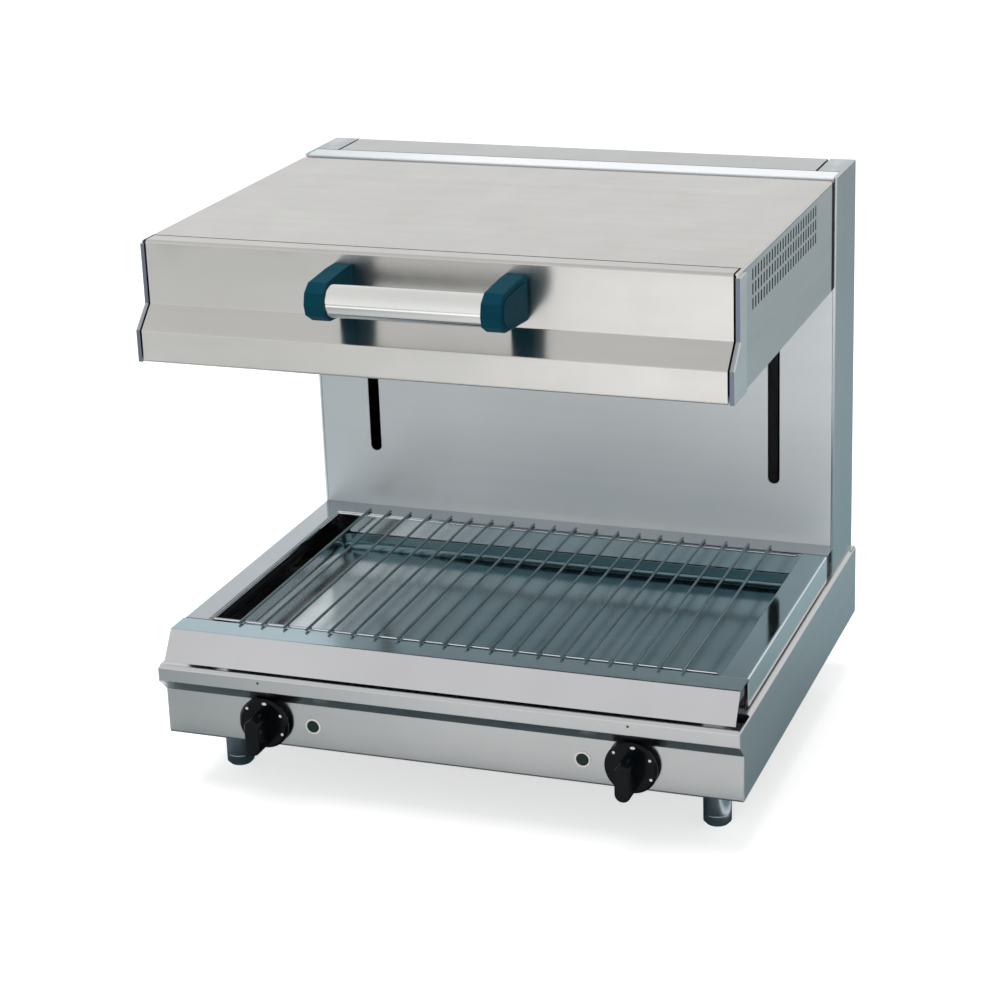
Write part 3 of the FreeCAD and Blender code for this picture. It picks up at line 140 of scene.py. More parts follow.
MOULDED = {
    # Black paint for the gas spring cylinders; on the deck rails it is painted shade that darkens the void
    # beside the tray.
    "black_paint": {
        "tones": ((0.012, 0.012, 0.014), (0.03, 0.03, 0.033)),
        "rough": (0.28, 0.40),
        "grain": 0.02 * MM,
    },
    # Black rubber for the seals beside the column's rear cover and behind the hood: painted shade that keeps
    # these gaps dark.
    "black_rubber": {
        "tones": ((0.002, 0.002, 0.003), (0.006, 0.006, 0.007)),
        "rough": (0.6, 0.8),
        "grain": 0.08 * MM,
        "specular": 0.2,
    },
    "dark_plastic": {
        "tones": ((0.003, 0.042, 0.066), (0.006, 0.058, 0.088)),
        "rough": (0.34, 0.44),
        "specular": 0.01,
    },
    "black_plastic": {
        "tones": ((0.001, 0.002, 0.003), (0.003, 0.005, 0.007)),
        "rough": (0.16, 0.25),
        "grain": 0.03 * MM,
        "specular": 0.16,
    },
    "regulator_case": {"tones": ((0.22, 0.20, 0.16), (0.33, 0.31, 0.26)), "rough": (0.45, 0.60)},
    "white_plastic": {"tones": ((0.84, 0.84, 0.82), (0.92, 0.92, 0.90)), "rough": (0.35, 0.50)},
}
# Column front: pale tones that are painted light against the hood's shade, and a darker tone towards the left
# edge that is painted shade.
SATIN_LIT_TONES = ((0.84, 0.88, 0.90), (0.91, 0.94, 0.96))
SATIN_SHADE_TONE = (0.56, 0.62, 0.64)
SATIN_SHADE_END = -310.0 * MM
SATIN_UNSHADED_FROM = -120.0 * MM
TINT_EDGE = 0.4 * MM
TRAY_SLOPE_DEPTH = 19.3 * MM
TRAY_LIP_DEPTH = 50.0 * MM
TRAY_SLOPE_TONES = ((0.57, 0.57, 0.585), (0.63, 0.63, 0.645))
# Tray lip: a darker blue-grey that is painted shade.
TRAY_LIP_SHADE_TONES = ((0.34, 0.46, 0.50), (0.40, 0.52, 0.56))
PAN_WALL_DEPTH = 11.0 * MM
PAN_WALL_BLEND = 2.0 * MM
# The pan's pale left and grey-blue right are a painted reflection.
PAN_LIGHT_REFLECTION_END = -240.0 * MM
PAN_DARK_REFLECTION_FROM = -60.0 * MM
PAN_LIGHT_REFLECTION_TONES = ((0.56, 0.62, 0.65), (0.68, 0.73, 0.75))
PAN_DARK_REFLECTION_TONES = ((0.16, 0.27, 0.31), (0.25, 0.36, 0.40))
# Rear wall of the pan: painted shade.
PAN_WALL_SHADE_TONE = (0.13, 0.21, 0.235)
PAN_STRAW_TONE = (0.36, 0.37, 0.30)
RIM_FRONT_DEPTH = 40.0 * MM
RIM_FACING = (-0.9, -0.6)
# Lighter turned-down edges of the deck sheets: painted highlight.
RIM_EDGE_HIGHLIGHT_TONES = ((0.82, 0.82, 0.81), (0.88, 0.88, 0.87))
REAR_EDGE_TONE = (0.58, 0.60, 0.61)
# Darker blue-grey tops of the deck frame and of the right rim: painted shade under the hood.
DECK_TOP_SHADE_TONES = ((0.41, 0.45, 0.48), (0.46, 0.50, 0.53))
RIM_TOP_SHADE_TONES = ((0.30, 0.42, 0.46), (0.36, 0.48, 0.52))
CHEEK_TONES = ((0.66, 0.68, 0.69), (0.72, 0.74, 0.75))
# Front-facing faces of the hood's side sheets and cheeks: painted shade for the gap beside the front panel.
GAP_SHADE_TONE = (0.16, 0.18, 0.23)
GAP_SHADE_FACING = (-0.85, -0.55)
# Darker tones of the straight wires on top of the rack: painted shade.
RACK_SHADE_TONES = ((0.11, 0.17, 0.19), (0.20, 0.27, 0.29))
RACK_BRIGHT_TONES = ((0.66, 0.72, 0.74), (0.78, 0.83, 0.85))
ZINC_TONES = ((0.42, 0.44, 0.46), (0.60, 0.61, 0.62))
LENS_TONES = ((0.001, 0.010, 0.008), (0.003, 0.030, 0.022))
SHEATH_TONES = ((0.10, 0.085, 0.075), (0.27, 0.25, 0.23))
WOOL_TONES = ((0.58, 0.53, 0.38), (0.76, 0.71, 0.55))
WIPE_CELLS = (17.0, 13.0, 21.0)
GRIT_CELLS = 420.0

# Sockets of a Mix node that mixes colours
MIX_SHARE = 0
MIX_ONE = 6
MIX_TWO = 7
MIX_RESULT = 2

# Small pieces
SEGMENTS = 48
SHARP = math.radians(38)
MESH_FIT = 0.05 * MM
MESH_DIGITS = 4
DOME_SHARES = ((0.86, 0.62), (0.5, 0.93))
MARK_RING_SHARE = 0.84
MARK_RADIUS = 1.5 * MM
MARK_RISE = 0.35 * MM
TOP_MARK_TURN = 83.0
MARK_TURNS = (29.0, -24.0, 137.0)
TOP_MARK_STRETCH = 1.7
KNOB_SKIRT_DEPTH = 9.0 * MM
BEZEL_WIDTH = 1.9 * MM
BEZEL_RISE = 1.1 * MM
BEZEL_SINK = 1.98 * MM
BEZEL_OUTER_EDGE = 0.66 * MM
BEZEL_INNER_EDGE = 0.77 * MM
BEZEL_OUTER_ROUND = 0.665 * MM
BEZEL_INNER_ROUND = 0.19 * MM
WELD_RADIUS = 1.35 * MM
WELD_WAIST_SHARE = 0.9
COLUMN_SEAL_WIDTH = 13.0 * MM
COLUMN_SEAL_THICK = 2.0 * MM
COLUMN_SEAL_BEHIND = 1.4 * MM
COLUMN_SEAL_SHIFT = 1.3 * MM
COLUMN_SEAL_TRIM = 6.0 * MM


def camera():
    data = bpy.data.cameras.new("photo_camera")
    data.sensor_width = SENSOR_WIDTH
    data.lens = FOCAL_PIXELS / PHOTO_PIXELS * SENSOR_WIDTH
    data.shift_x = 0.5 - CENTRE_PIXELS[0] / PHOTO_PIXELS
    data.shift_y = CENTRE_PIXELS[1] / PHOTO_PIXELS - 0.5
    view = bpy.data.objects.new("photo_camera", data)
    view.location = CAMERA_PLACE
    view.rotation_mode = "YXZ"
    view.rotation_euler = Euler(CAMERA_TURN, "YXZ")
    bpy.context.scene.collection.objects.link(view)
    bpy.context.scene.camera = view


def lamp(name, place, size, power):
    """Square lamp that is aimed at the part and doesn't show in its bright sheets."""
    data = bpy.data.lights.new(name, "AREA")
    data.shape = "SQUARE"
    data.size = size
    data.energy = power
    light = bpy.data.objects.new(name, data)
    light.location = place
    light.visible_glossy = False
    light.rotation_euler = (Vector(AIM) - Vector(place)).to_track_quat("-Z", "Y").to_euler()
    bpy.context.scene.collection.objects.link(light)


def seen_directly(tree):
    """One where a camera, glossy or transmission ray looks, else zero."""
    path = tree.nodes.new("ShaderNodeLightPath")
    total = path.outputs["Is Camera Ray"]
    for kind in ("Is Glossy Ray", "Is Transmission Ray"):
        both = tree.nodes.new("ShaderNodeMath")
        both.operation = "MAXIMUM"
        tree.links.new(total, both.inputs[0])
        tree.links.new(path.outputs[kind], both.inputs[1])
        total = both.outputs[0]
    return total


def world():
    """Even surround, white where it is looked at and a little darker overhead."""
    surround = bpy.data.worlds.new("studio")
    surround.use_nodes = True
    tree = surround.node_tree
    background = tree.nodes["Background"]
    background.inputs["Color"].default_value = (1, 1, 1, 1)
    place = tree.nodes.new("ShaderNodeTexCoord")
    parts = tree.nodes.new("ShaderNodeSeparateXYZ")
    shown = tree.nodes.new("ShaderNodeMapRange")
    shown.inputs["To Min"].default_value = 1.0
    shown.inputs["To Max"].default_value = OVERHEAD_LEVEL
    level = tree.nodes.new("ShaderNodeMapRange")
    level.inputs["To Min"].default_value = WORLD_LEVEL
    tree.links.new(place.outputs["Generated"], parts.inputs[0])
    tree.links.new(parts.outputs["Z"], shown.inputs["Value"])
    tree.links.new(shown.outputs["Result"], level.inputs["To Max"])
    tree.links.new(seen_directly(tree), level.inputs["Value"])
    tree.links.new(level.outputs["Result"], background.inputs["Strength"])
    bpy.context.scene.world = surround


def sheet(name, across, depth, height):
    """Flat stage sheet that lies at a height, with a plain matt material."""
    mesh = bpy.data.meshes.new(name)
    corners = [(across[i], depth[j], height) for i, j in ((0, 0), (1, 0), (1, 1), (0, 1))]
    mesh.from_pydata(corners, [], [(0, 1, 2, 3)])
    material = bpy.data.materials.new(name)
    material.use_nodes = True
    shader = material.node_tree.nodes["Principled BSDF"]
    shader.inputs["Roughness"].default_value = 1.0
    shader.inputs["Specular IOR Level"].default_value = 0.0
    mesh.materials.append(material)
    made = bpy.data.objects.new(name, mesh)
    bpy.context.scene.collection.objects.link(made)
    return made, material.node_tree, shader


def floor():
    """Pale floor that takes the shadow and is white where nothing shades it."""
    reach = (-FLOOR_HALF, FLOOR_HALF)
    _, tree, shader = sheet("floor", reach, reach, 0)
    shader.inputs["Base Color"].default_value = (FLOOR_TONE, FLOOR_TONE, FLOOR_TONE, 1)
    shader.inputs["Emission Color"].default_value = (1, 1, 1, 1)
    lift = tree.nodes.new("ShaderNodeMath")
    lift.operation = "MULTIPLY"
    lift.inputs[1].default_value = FLOOR_LIFT
    tree.links.new(seen_directly(tree), lift.inputs[0])
    tree.links.new(lift.outputs[0], shader.inputs["Emission Strength"])


def board(name, area, tones, ramp):
    """Grey board that only mirroring surfaces see. Its tone changes along X over the ramp."""
    made, tree, shader = sheet(name, *area, BOARD_LIFT)
    place = tree.nodes.new("ShaderNodeTexCoord")
    parts = tree.nodes.new("ShaderNodeSeparateXYZ")
    share = tree.nodes.new("ShaderNodeMapRange")
    share.inputs["From Min"].default_value, share.inputs["From Max"].default_value = ramp
    mix = tree.nodes.new("ShaderNodeMix")
    mix.data_type = "RGBA"
    mix.inputs[MIX_ONE].default_value = (*tones[0], 1)
    mix.inputs[MIX_TWO].default_value = (*tones[1], 1)
    tree.links.new(place.outputs["Object"], parts.inputs[0])
    tree.links.new(parts.outputs["X"], share.inputs["Value"])
    tree.links.new(share.outputs["Result"], mix.inputs[MIX_SHARE])
    tree.links.new(mix.outputs[MIX_RESULT], shader.inputs["Base Color"])
    made.visible_camera = False
    made.visible_diffuse = False
    made.visible_shadow = False


class Finish:
    """A material whose colour, roughness and relief come from patterns in the part's own coordinates."""

    def __init__(self, name, **constants):
        self.material = bpy.data.materials.new(name)
        self.material.use_nodes = True
        self.tree = self.material.node_tree
        self.shader = self.tree.nodes["Principled BSDF"]
        self.place = self.tree.nodes.new("ShaderNodeTexCoord").outputs["Object"]
        for socket, value in constants.items():
            self.shader.inputs[socket.replace("_", " ")].default_value = value

    def node(self, kind, **links):
        """Adds a node. Each of its sockets takes another node's output or a plain value."""
        made = self.tree.nodes.new(kind)
        for socket, value in links.items():
            slot = made.inputs[socket.replace("_", " ")]
            if isinstance(value, bpy.types.NodeSocket):
                self.tree.links.new(value, slot)
            else:
                slot.default_value = value
        return made

    def stretched(self, per_metre):
        return self.node("ShaderNodeMapping", Vector=self.place, Scale=per_metre).outputs["Vector"]

    def lay(self, grain):
        """Turns the stretched gloss of a ground surface to the grain's direction."""
        tangent = self.node("ShaderNodeTangent")
        tangent.direction_type = "RADIAL"
        tangent.axis = {tuple(X): "X", tuple(Y): "Y", tuple(Z): "Z"}[tuple(grain)]
        self.tree.links.new(tangent.outputs[0], self.shader.inputs["Tangent"])

    def noise(self, per_metre, detail=3.0, rough=0.55):
        """Cloudy pattern with that many cells per metre along X, Y and Z."""
        cells = self.stretched(per_metre)
        made = self.node("ShaderNodeTexNoise", Vector=cells, Scale=1.0, Detail=detail, Roughness=rough)
        return made.outputs["Fac"]

    def cells(self, per_metre):
        """Pattern of small rounded cells, that many per metre."""
        made = self.node("ShaderNodeTexVoronoi", Vector=self.stretched(per_metre), Scale=1.0)
        return made.outputs["Distance"]

    def place_along(self, axis):
        """The place along X, Y or Z in metres."""
        return self.node("ShaderNodeSeparateXYZ", Vector=self.place).outputs[axis]

    def facing_front(self, square, slanted):
        """One where the surface faces the front, zero where it has turned away from it."""
        normal = self.node("ShaderNodeNewGeometry").outputs["Normal"]
        facing = self.node("ShaderNodeSeparateXYZ", Vector=normal).outputs["Y"]
        return self.spread(facing, 1.0, 0.0, square, slanted)

    def spread(self, value, low, high, start=0.3, stop=0.7):
        """Moves the values between start and stop to the range from low to high."""
        ends = {"From_Min": start, "From_Max": stop, "To_Min": low, "To_Max": high}
        return self.node("ShaderNodeMapRange", Value=value, **ends).outputs["Result"]

    def combined(self, operation, one, two):
        made = self.node("ShaderNodeMath")
        made.operation = operation
        for slot, value in zip(made.inputs, (one, two)):
            self.tree.links.new(value, slot)
        return made.outputs[0]

    def product(self, one, two):
        return self.combined("MULTIPLY", one, two)

    def total(self, one, two):
        return self.combined("ADD", one, two)

    def blend(self, share, one, two):
        """The first colour where the share is zero, the second where it is one."""
        made = self.tree.nodes.new("ShaderNodeMix")
        made.data_type = "RGBA"
        self.tree.links.new(share, made.inputs[MIX_SHARE])
        for slot, value in ((made.inputs[MIX_ONE], one), (made.inputs[MIX_TWO], two)):
            if isinstance(value, bpy.types.NodeSocket):
                self.tree.links.new(value, slot)
            else:
                slot.default_value = (*value, 1)
        return made.outputs[MIX_RESULT]

    def dress(self, colour, roughness, relief=None, depth=0.0, strength=0.3):
        """Joins colour, roughness and relief to the shader. The depth is the relief's height in metres."""
        self.tree.links.new(colour, self.shader.inputs["Base Color"])
        self.tree.links.new(roughness, self.shader.inputs["Roughness"])
        if relief:
            bump = self.node("ShaderNodeBump", Height=relief, Strength=strength, Distance=depth)
            self.tree.links.new(bump.outputs["Normal"], self.shader.inputs["Normal"])
        return self.material


def along(axis, with_grain, across_grain):
    """Pattern scale with few cells along the axis and many across it."""
    return tuple(with_grain if part else across_grain for part in axis)


def even(per_metre):
    """Pattern scale that is the same in every direction."""
    return (per_metre, per_metre, per_metre)


def brushed(name, grain, tones, rough, stretch=GRAIN_STRENGTH):
    """Sheet steel ground along the grain: fine lines, wider bands, and faint clouds from wiping."""
    finish = Finish(name, Metallic=1.0, Anisotropic=stretch)
    finish.lay(grain)
    lines = finish.noise(along(grain, 5.0, 750.0), detail=2.0)
    bands = finish.noise(along(grain, 1.6, 55.0), detail=4.0)
    clouds = finish.noise(even(5.0), detail=3.0)
    wipes = finish.noise(WIPE_CELLS, detail=5.0, rough=0.65)
    tone = finish.total(finish.spread(bands, 0.0, 0.45), finish.spread(clouds, 0.0, 0.55))
    low, high = rough
    middle = (low + high) / 2
    cloudy = finish.spread(wipes, low - middle, high - middle)
    lined = finish.spread(lines, middle - LINE_ROUGHNESS, middle + LINE_ROUGHNESS)
    roughness = finish.total(cloudy, lined)
    return finish.dress(finish.blend(tone, *tones), roughness, lines, depth=0.02 * MM, strength=0.02)


def satin(name):
    """Finely ground column sheet that scatters most of the light. Its pale tones are painted light that makes
    up for the hood's shade, and painted shade darkens it towards its left edge.
    """
    finish = Finish(name, Metallic=0.25)
    bands = finish.noise(along(X, 1.6, 55.0), detail=3.0)
    clouds = finish.noise(even(5.0), detail=3.0)
    wipes = finish.noise(WIPE_CELLS, detail=4.0)
    tone = finish.total(finish.spread(bands, 0.0, 0.4), finish.spread(clouds, 0.0, 0.6))
    # Painted shade: darker towards the column's left edge.
    left_shade = finish.spread(finish.place_along("X"), 0.0, 1.0, SATIN_SHADE_END, SATIN_UNSHADED_FROM)
    colour = finish.blend(left_shade, SATIN_SHADE_TONE, finish.blend(tone, *SATIN_LIT_TONES))
    return finish.dress(colour, finish.spread(wipes, 0.30, 0.37))


def tray_steel(name):
    """Bright slope, a lip on top darkened with painted shade, and a pan with a painted reflection that is
    pale at the left and grey-blue to the right, a rear wall darkened with painted shade, and straw-coloured
    runs.
    """
    finish = Finish(name, Metallic=1.0)
    (_, front, _), (_, rear, _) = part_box("drip_tray")
    slope_end = front + TRAY_SLOPE_DEPTH
    lip_end = front + TRAY_LIP_DEPTH
    wall_start = rear - PAN_WALL_DEPTH
    clouds = finish.noise(even(7.0), detail=4.0)
    stains = finish.noise((9.0, 15.0, 15.0), detail=6.0, rough=0.7)
    lines = finish.noise(along(X, 6.0, 600.0), detail=2.0)
    depth = finish.place_along("Y")
    on_lip = finish.spread(depth, 0.0, 1.0, slope_end - TINT_EDGE, slope_end + TINT_EDGE)
    in_pan = finish.spread(depth, 0.0, 1.0, lip_end - TINT_EDGE, lip_end + TINT_EDGE)
    at_rear = finish.spread(depth, 0.0, 1.0, wall_start, wall_start + PAN_WALL_BLEND)
    # Painted reflection: pale at the left of the pan, grey-blue to the right.
    dark_reflection = finish.spread(finish.place_along("X"), 0.0, 1.0, PAN_LIGHT_REFLECTION_END, PAN_DARK_REFLECTION_FROM)
    dry = finish.spread(stains, 0.0, 0.45, start=0.54, stop=0.80)
    tone = finish.spread(clouds, 0.0, 1.0)
    slope = finish.blend(tone, *TRAY_SLOPE_TONES)
    shaded_lip = finish.blend(tone, *TRAY_LIP_SHADE_TONES)
    bottom = finish.blend(dark_reflection, finish.blend(tone, *PAN_LIGHT_REFLECTION_TONES), finish.blend(tone, *PAN_DARK_REFLECTION_TONES))
    # The rear wall gets painted shade; the straw runs are stains.
    pan = finish.blend(dry, finish.blend(at_rear, bottom, PAN_WALL_SHADE_TONE), PAN_STRAW_TONE)
    colour = finish.blend(in_pan, finish.blend(on_lip, slope, shaded_lip), pan)
    roughness = finish.total(finish.spread(stains, 0.0, 0.05), finish.spread(clouds, 0.12, 0.17))
    return finish.dress(colour, roughness, lines, depth=0.03 * MM, strength=0.08)


def rim_steel(name, node, tones):
    """Deck sheet whose top is darkened with painted shade, whose turned-down edges are lightened with a
    painted highlight, and whose upright front ends are ground matt.
    """
    finish = Finish(name)
    (_, front, _), (_, _, top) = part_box(node)
    front_end = front + RIM_FRONT_DEPTH
    clouds = finish.noise(even(9.0), detail=4.0)
    lines = finish.noise(along(Y, 6.0, 600.0), detail=2.0)
    on_top = finish.spread(finish.place_along("Z"), 0.0, 1.0, top - 2 * TINT_EDGE, top - TINT_EDGE)
    ahead = finish.spread(finish.place_along("Y"), 1.0, 0.0, front_end, front_end + RIM_FRONT_DEPTH)
    upright = finish.facing_front(*RIM_FACING)
    at_front = finish.product(upright, ahead)
    at_rear = finish.product(upright, finish.spread(ahead, 1.0, 0.0, 0.0, 1.0))
    tone = finish.spread(clouds, 0.0, 1.0)
    # Painted highlight on the turned-down edges; the rear uprights keep a plain tone.
    edges = finish.blend(at_rear, finish.blend(tone, *RIM_EDGE_HIGHLIGHT_TONES), REAR_EDGE_TONE)
    colour = finish.blend(on_top, edges, finish.blend(tone, *tones))
    matt = finish.spread(at_front, 0.0, 0.40, 0.0, 1.0)
    metal = finish.spread(at_front, 1.0, 0.15, 0.0, 1.0)
    finish.tree.links.new(metal, finish.shader.inputs["Metallic"])
    roughness = finish.total(finish.spread(clouds, 0.07, 0.12), matt)
    return finish.dress(colour, roughness, lines, depth=0.03 * MM, strength=0.05)


def rack_steel(name):
    """Round wire: the straight wires on top are darkened with painted shade, the cross wires below are
    bright.
    """
    finish = Finish(name, Metallic=1.0)
    low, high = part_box("wire_rack")
    middle = (low[2] + high[2]) / 2
    clouds = finish.noise(even(30.0), detail=4.0)
    grit = finish.noise(even(GRIT_CELLS), detail=2.0)
    below = finish.spread(finish.place_along("Z"), 1.0, 0.0, middle - TINT_EDGE, middle + TINT_EDGE)
    tone = finish.spread(clouds, 0.0, 1.0)
    shaded_wires = finish.blend(tone, *RACK_SHADE_TONES)
    colour = finish.blend(below, shaded_wires, finish.blend(tone, *RACK_BRIGHT_TONES))
    return finish.dress(colour, finish.spread(clouds, 0.08, 0.13), grit, depth=0.03 * MM, strength=0.15)


def end_steel(name, tones):
    """Brushed side sheet whose front-facing edge is darkened with painted shade, for the shaded gap beside
    the hood's front panel.
    """
    finish = Finish(name, Metallic=1.0, Anisotropic=GRAIN_STRENGTH)
    finish.lay(Y)
    bands = finish.noise(along(Y, 1.6, 55.0), detail=4.0)
    wipes = finish.noise(WIPE_CELLS, detail=5.0, rough=0.65)
    face = finish.blend(finish.spread(bands, 0.0, 1.0), *tones)
    colour = finish.blend(finish.facing_front(*GAP_SHADE_FACING), face, GAP_SHADE_TONE)
    return finish.dress(colour, finish.spread(wipes, 0.29, 0.34))


def plain_metal(name, tones, rough, cells=30.0):
    """Rolled, turned or cast metal with a faint cloudy surface."""
    finish = Finish(name, Metallic=1.0)
    clouds = finish.noise(even(cells), detail=4.0)
    grit = finish.noise(even(GRIT_CELLS), detail=2.0)
    colour = finish.blend(finish.spread(clouds, 0.0, 1.0), *tones)
    return finish.dress(colour, finish.spread(clouds, *rough), grit, depth=0.03 * MM, strength=0.15)


def zinc(name):
    """Zinc-plated sheet with crystal patches."""
    finish = Finish(name, Metallic=1.0)
    crystals = finish.cells(even(110.0))
    clouds = finish.noise(even(40.0), detail=4.0)
    colour = finish.blend(finish.spread(crystals, 0.0, 1.0, 0.1, 0.8), *ZINC_TONES)
    return finish.dress(colour, finish.spread(clouds, 0.32, 0.52), crystals, depth=0.03 * MM, strength=0.2)


def moulded(name, tones, rough, grain=0.05 * MM, specular=0.5):
    """Moulded or sprayed skin: fine pebbles, faint flow clouds and a little shine worn in."""
    finish = Finish(name, Specular_IOR_Level=specular)
    pebbles = finish.cells(even(900.0))
    clouds = finish.noise(even(38.0), detail=4.0)
    colour = finish.blend(finish.spread(clouds, 0.0, 1.0), *tones)
    return finish.dress(colour, finish.spread(clouds, *rough), pebbles, depth=grain, strength=0.25)


def lens(name):
    """Clear green plastic with the small facets that spread the lamp's light."""
    finish = Finish(name, Specular_IOR_Level=0.3)
    facets = finish.cells(even(620.0))
    depth = finish.noise(even(160.0), detail=2.0)
    colour = finish.blend(finish.spread(depth, 0.0, 1.0), *LENS_TONES)
    roughness = finish.spread(facets, 0.08, 0.22, 0.1, 0.7)
    return finish.dress(colour, roughness, facets, depth=0.25 * MM, strength=0.5)


def sheath(name):
    """Heater sheath: grey-brown oxide with rings of tint from use."""
    finish = Finish(name, Metallic=0.85)
    rings = finish.noise((12.0, 60.0, 12.0), detail=5.0)
    scale = finish.noise(even(300.0), detail=4.0)
    colour = finish.blend(finish.spread(rings, 0.0, 1.0), *SHEATH_TONES)
    return finish.dress(colour, finish.spread(scale, 0.40, 0.62), scale, depth=0.08 * MM, strength=0.4)


def wool(name):
    """Mineral wool board."""
    finish = Finish(name)
    fibres = finish.noise((260.0, 90.0, 700.0), detail=6.0, rough=0.7)
    clouds = finish.noise(even(24.0), detail=3.0)
    colour = finish.blend(finish.spread(clouds, 0.0, 1.0), *WOOL_TONES)
    return finish.dress(colour, finish.spread(fibres, 0.88, 1.0), fibres, depth=0.9 * MM, strength=0.8)


def finishes():
    """Makes every material once, by name."""
    made = {name: brushed(name, **look) for name, look in BRUSHED.items()}
    made |= {name: plain_metal(name, **look) for name, look in PLAIN_METALS.items()}
    made |= {name: moulded(name, **look) for name, look in MOULDED.items()}
    made["column_sheet"] = satin("column_sheet")
    made["hood_end"] = end_steel("hood_end", COOL)
    made["hood_cheek"] = end_steel("hood_cheek", CHEEK_TONES)
    made["deck_sheet"] = rim_steel("deck_sheet", "deck_frame", DECK_TOP_SHADE_TONES)
    made["rim_sheet"] = rim_steel("rim_sheet", "deck_rim_right", RIM_TOP_SHADE_TONES)
    made["tray_sheet"] = tray_steel("tray_sheet")
    made["rack_wire"] = rack_steel("rack_wire")
    made["zinc_steel"] = zinc("zinc_steel")
    made["green_lens"] = lens("green_lens")
    made["element_sheath"] = sheath("element_sheath")
    made["insulation"] = wool("insulation")
    return made


def give(material, *names):
    """Puts the material on whole CAD nodes."""
    for name in names:
        slots = NODES[name].data.materials
        if not slots:
            slots.append(material)
        for k in range(len(slots)):
            slots[k] = material


def pair(name):
    return [name + "_" + side for side in SIDES]


def dress_base(made):
    give(made["front_sheet"], "front_panel", "base_rear_panel")
    give(made["wall_sheet"], *pair("base_side"))
    give(made["zinc_steel"], "base_floor", "foot_nuts", "tray_bars", *pair("spindle"))
    give(made["foot_steel"], *pair("foot_front"), *pair("foot_rear"))
    give(made["deck_sheet"], "deck_frame")
    give(made["rim_sheet"], "deck_rim_right")
    # Black deck rails: painted shade in the void beside the tray.
    give(made["black_paint"], "deck_rails")
    give(made["regulator_case"], *pair("regulator"))
    give(made["green_lens"], *pair("pilot_lamp"))
    give(made["white_plastic"], "terminal_block")
    give(made["black_plastic"], "cable_gland", *pair("knob"))
    give(made["tray_sheet"], "drip_tray")
    give(made["rack_wire"], "wire_rack")


def dress_column(made):
    give(made["column_sheet"], "column_front_panel")
    give(made["upright_sheet"], *pair("column_side"))
    give(made["cover_sheet"], "column_rear_cover")
    give(made["zinc_steel"], "cover_screws", "rod_brackets", "spring_anchors")
    # The rods get a near-black tone: painted shade in the column's slots.
    give(made["slot_shade_rod"], *pair("guide_rod"), *pair("gas_spring_rod"))
    give(made["black_paint"], *pair("gas_spring_cylinder"))


def dress_hood(made):
    give(made["hood_sheet"], "hood_front_panel", "hood_top", "hood_rear_panel")
    give(made["hood_end"], *pair("hood_side"))
    give(made["hood_cheek"], "hood_cheeks")
    # Black hood seals: painted shade in the gap between the hood and the column.
    give(made["black_rubber"], "hood_seals")
    give(made["grip_tube"], "handle_bar")
    give(made["dark_plastic"], *pair("handle_bracket"))
    give(made["bright_reflector"], "reflector")
    give(made["element_sheath"], *pair("heating_element"))
    give(made["insulation"], "insulation_slab")
    give(made["zinc_steel"], "element_holders", "carriage_crossbar", *pair("hood_arm"))
    give(made["carriage_alloy"], *pair("carriage"))
    give(made["bearing_bronze"], "slide_bushes")


def turned(surface, profile, centre, axis, stretch=1.0):
    """Adds a turned form to a mesh. The profile's pairs give a radius and a height along the axis."""
    turn = Z.rotation_difference(axis).to_matrix()
    rings = []
    for radius, height in profile:
        ring = []
        for k in range(SEGMENTS if radius > 0 else 1):
            angle = math.tau * k / SEGMENTS
            local = Vector((radius * math.cos(angle) * stretch, radius * math.sin(angle), height))
            ring.append(surface.verts.new(Vector(centre) + turn @ local))
        rings.append(ring)
    for one, two in zip(rings, rings[1:]):
        for k in range(SEGMENTS):
            a, b = one[k % len(one)], one[(k + 1) % len(one)]
            c, d = two[(k + 1) % len(two)], two[k % len(two)]
            corners = list(dict.fromkeys((a, b, c, d)))
            surface.faces.new(corners)


def piece(name, surface, material, body):
    """Makes one object of a mesh that rides on a body."""
    bmesh.ops.recalc_face_normals(surface, faces=surface.faces)
    mesh = bpy.data.meshes.new(name)
    surface.to_mesh(mesh)
    surface.free()
    mesh.polygons.foreach_set("use_smooth", [True] * len(mesh.polygons))
    mesh.set_sharp_from_angle(angle=SHARP)
    mesh.materials.append(material)
    made = bpy.data.objects.new(name, mesh)
    bpy.context.scene.collection.objects.link(made)
    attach(made, body)


def domed(radius, rise):
    """Profile of a low dome that stands on its own flat foot."""
    crown = [(radius * reach, rise * height) for reach, height in DOME_SHARES]
    return [(radius, -rise), (radius, 0), *crown, (0, rise)]


def knob_marks(side, material):
    """Painted setting marks, plain dots and one wider dot, on the face of the knob's skirt."""
    low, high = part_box("knob_" + side)
    middle = (Vector(low) + Vector(high)) / 2
    reach = (high[0] - low[0]) / 2 * MARK_RING_SHARE
    skirt_face = high[1] - KNOB_SKIRT_DEPTH
    surface = bmesh.new()
    for turn in (TOP_MARK_TURN, *MARK_TURNS):
        angle = math.radians(turn)
        spot = (middle.x + reach * math.cos(angle), skirt_face, middle.z + reach * math.sin(angle))
        stretch = TOP_MARK_STRETCH if turn == TOP_MARK_TURN else 1.0
        turned(surface, domed(MARK_RADIUS, MARK_RISE), spot, -Y, stretch)
    piece("knob_marks_" + side, surface, material, "knob_" + side)


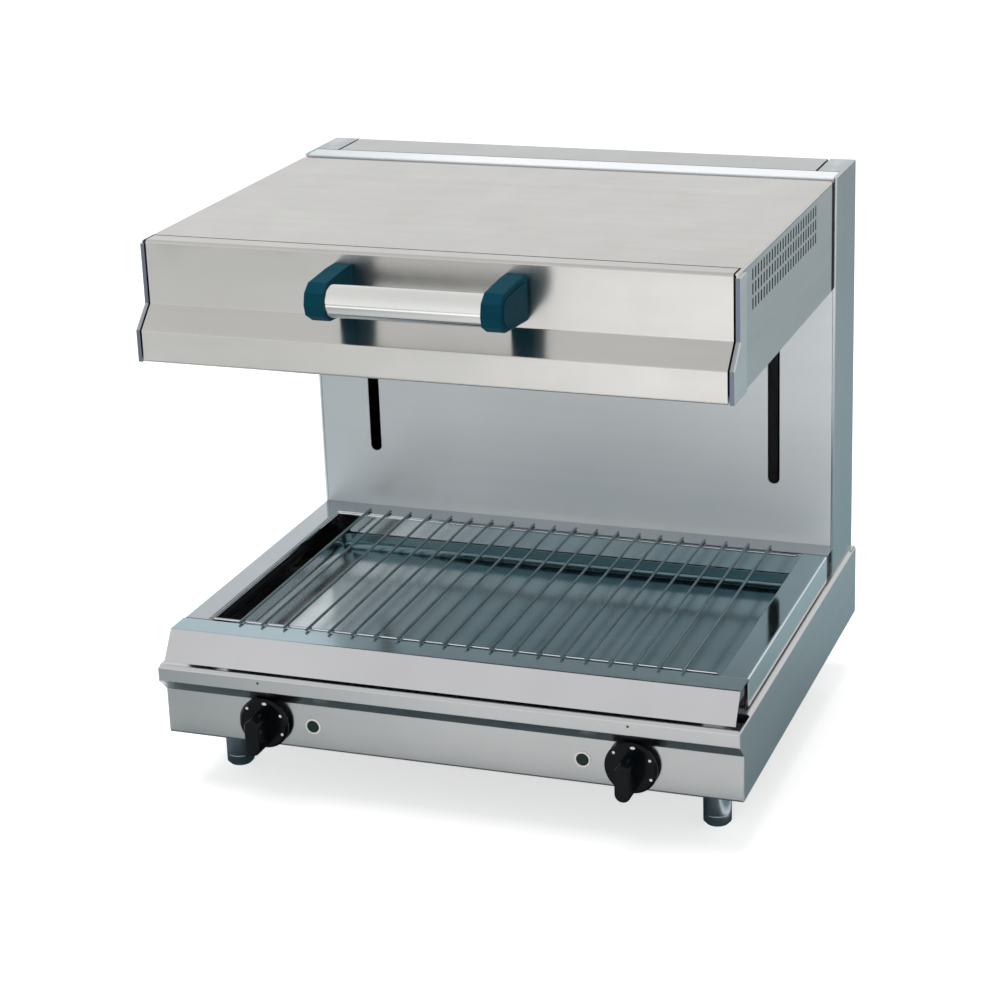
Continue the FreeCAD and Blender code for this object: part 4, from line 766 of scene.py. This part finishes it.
def lamp_bezel(side, material):
    """Pale ring round a pilot lamp, let into the panel."""
    low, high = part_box("pilot_lamp_" + side)
    inner = (high[0] - low[0]) / 2
    outer = inner + BEZEL_WIDTH
    centre = ((low[0] + high[0]) / 2, low[1] + BEZEL_SINK, (low[2] + high[2]) / 2)
    profile = [
        (inner, 0),
        (outer, 0),
        (outer, BEZEL_OUTER_EDGE),
        (outer - BEZEL_OUTER_ROUND, BEZEL_RISE),
        (inner + BEZEL_INNER_ROUND, BEZEL_RISE),
        (inner, BEZEL_INNER_EDGE),
        (inner, 0),
    ]
    surface = bmesh.new()
    turned(surface, profile, centre, -Y)
    piece("lamp_bezel_" + side, surface, material, "base")


def column_seal(side, material):
    """Black foam strip inside the column that closes the gap beside its rear cover. Its black is painted
    shade that keeps the gap dark.
    """
    low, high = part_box("column_rear_cover")
    x = SIDES[side] * (high[0] + COLUMN_SEAL_SHIFT)
    y = high[1] - COLUMN_SEAL_BEHIND - COLUMN_SEAL_THICK / 2
    centre = Vector((x, y, (low[2] + high[2]) / 2))
    span = (COLUMN_SEAL_WIDTH, COLUMN_SEAL_THICK, high[2] - low[2] - 2 * COLUMN_SEAL_TRIM)
    surface = bmesh.new()
    corners = bmesh.ops.create_cube(surface, size=1.0)["verts"]
    bmesh.ops.scale(surface, vec=span, verts=corners)
    bmesh.ops.translate(surface, vec=centre, verts=corners)
    piece("column_seal_" + side, surface, material, "base")


def rack_welds(material):
    """Small weld beads where each straight wire sits on the two cross wires."""
    low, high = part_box("wire_rack")
    middle = (low[2] + high[2]) / 2
    corners = [vertex.co for vertex in NODES["wire_rack"].data.vertices]
    crown = [corner for corner in corners if corner.z > high[2] - MESH_FIT]
    xs = sorted({round(corner.x, MESH_DIGITS) for corner in crown})
    underside = [corner for corner in corners if corner.z < low[2] + MESH_FIT]
    ys = sorted({round(corner.y, MESH_DIGITS) for corner in underside})
    ends = [corner.y for corner in corners if abs(corner.x - high[0]) < MESH_FIT]
    parting = (min(ends) + max(ends)) / 2
    front = [y for y in ys if y < parting]
    rear = [y for y in ys if y > parting]
    bead = [(0, -WELD_RADIUS), (WELD_RADIUS, -WELD_RADIUS), (WELD_RADIUS * WELD_WAIST_SHARE, 0)]
    bead += [(WELD_RADIUS, WELD_RADIUS), (0, WELD_RADIUS)]
    surface = bmesh.new()
    for row in (front, rear):
        for x in xs:
            turned(surface, bead, (x, sum(row) / len(row), middle), Z)
    piece("rack_welds", surface, material, "rack")


def main():
    camera()
    world()
    floor()
    for name, look in BOARDS.items():
        board(name, **look)
    lamp("key", **KEY)
    lamp("fill", **FILL)
    bpy.context.scene.view_settings.view_transform = "Standard"
    made = finishes()
    dress_base(made)
    dress_column(made)
    dress_hood(made)
    for side in SIDES:
        knob_marks(side, made["white_plastic"])
        lamp_bezel(side, made["white_plastic"])
        column_seal(side, made["black_rubber"])
    rack_welds(made["rack_wire"])


main()
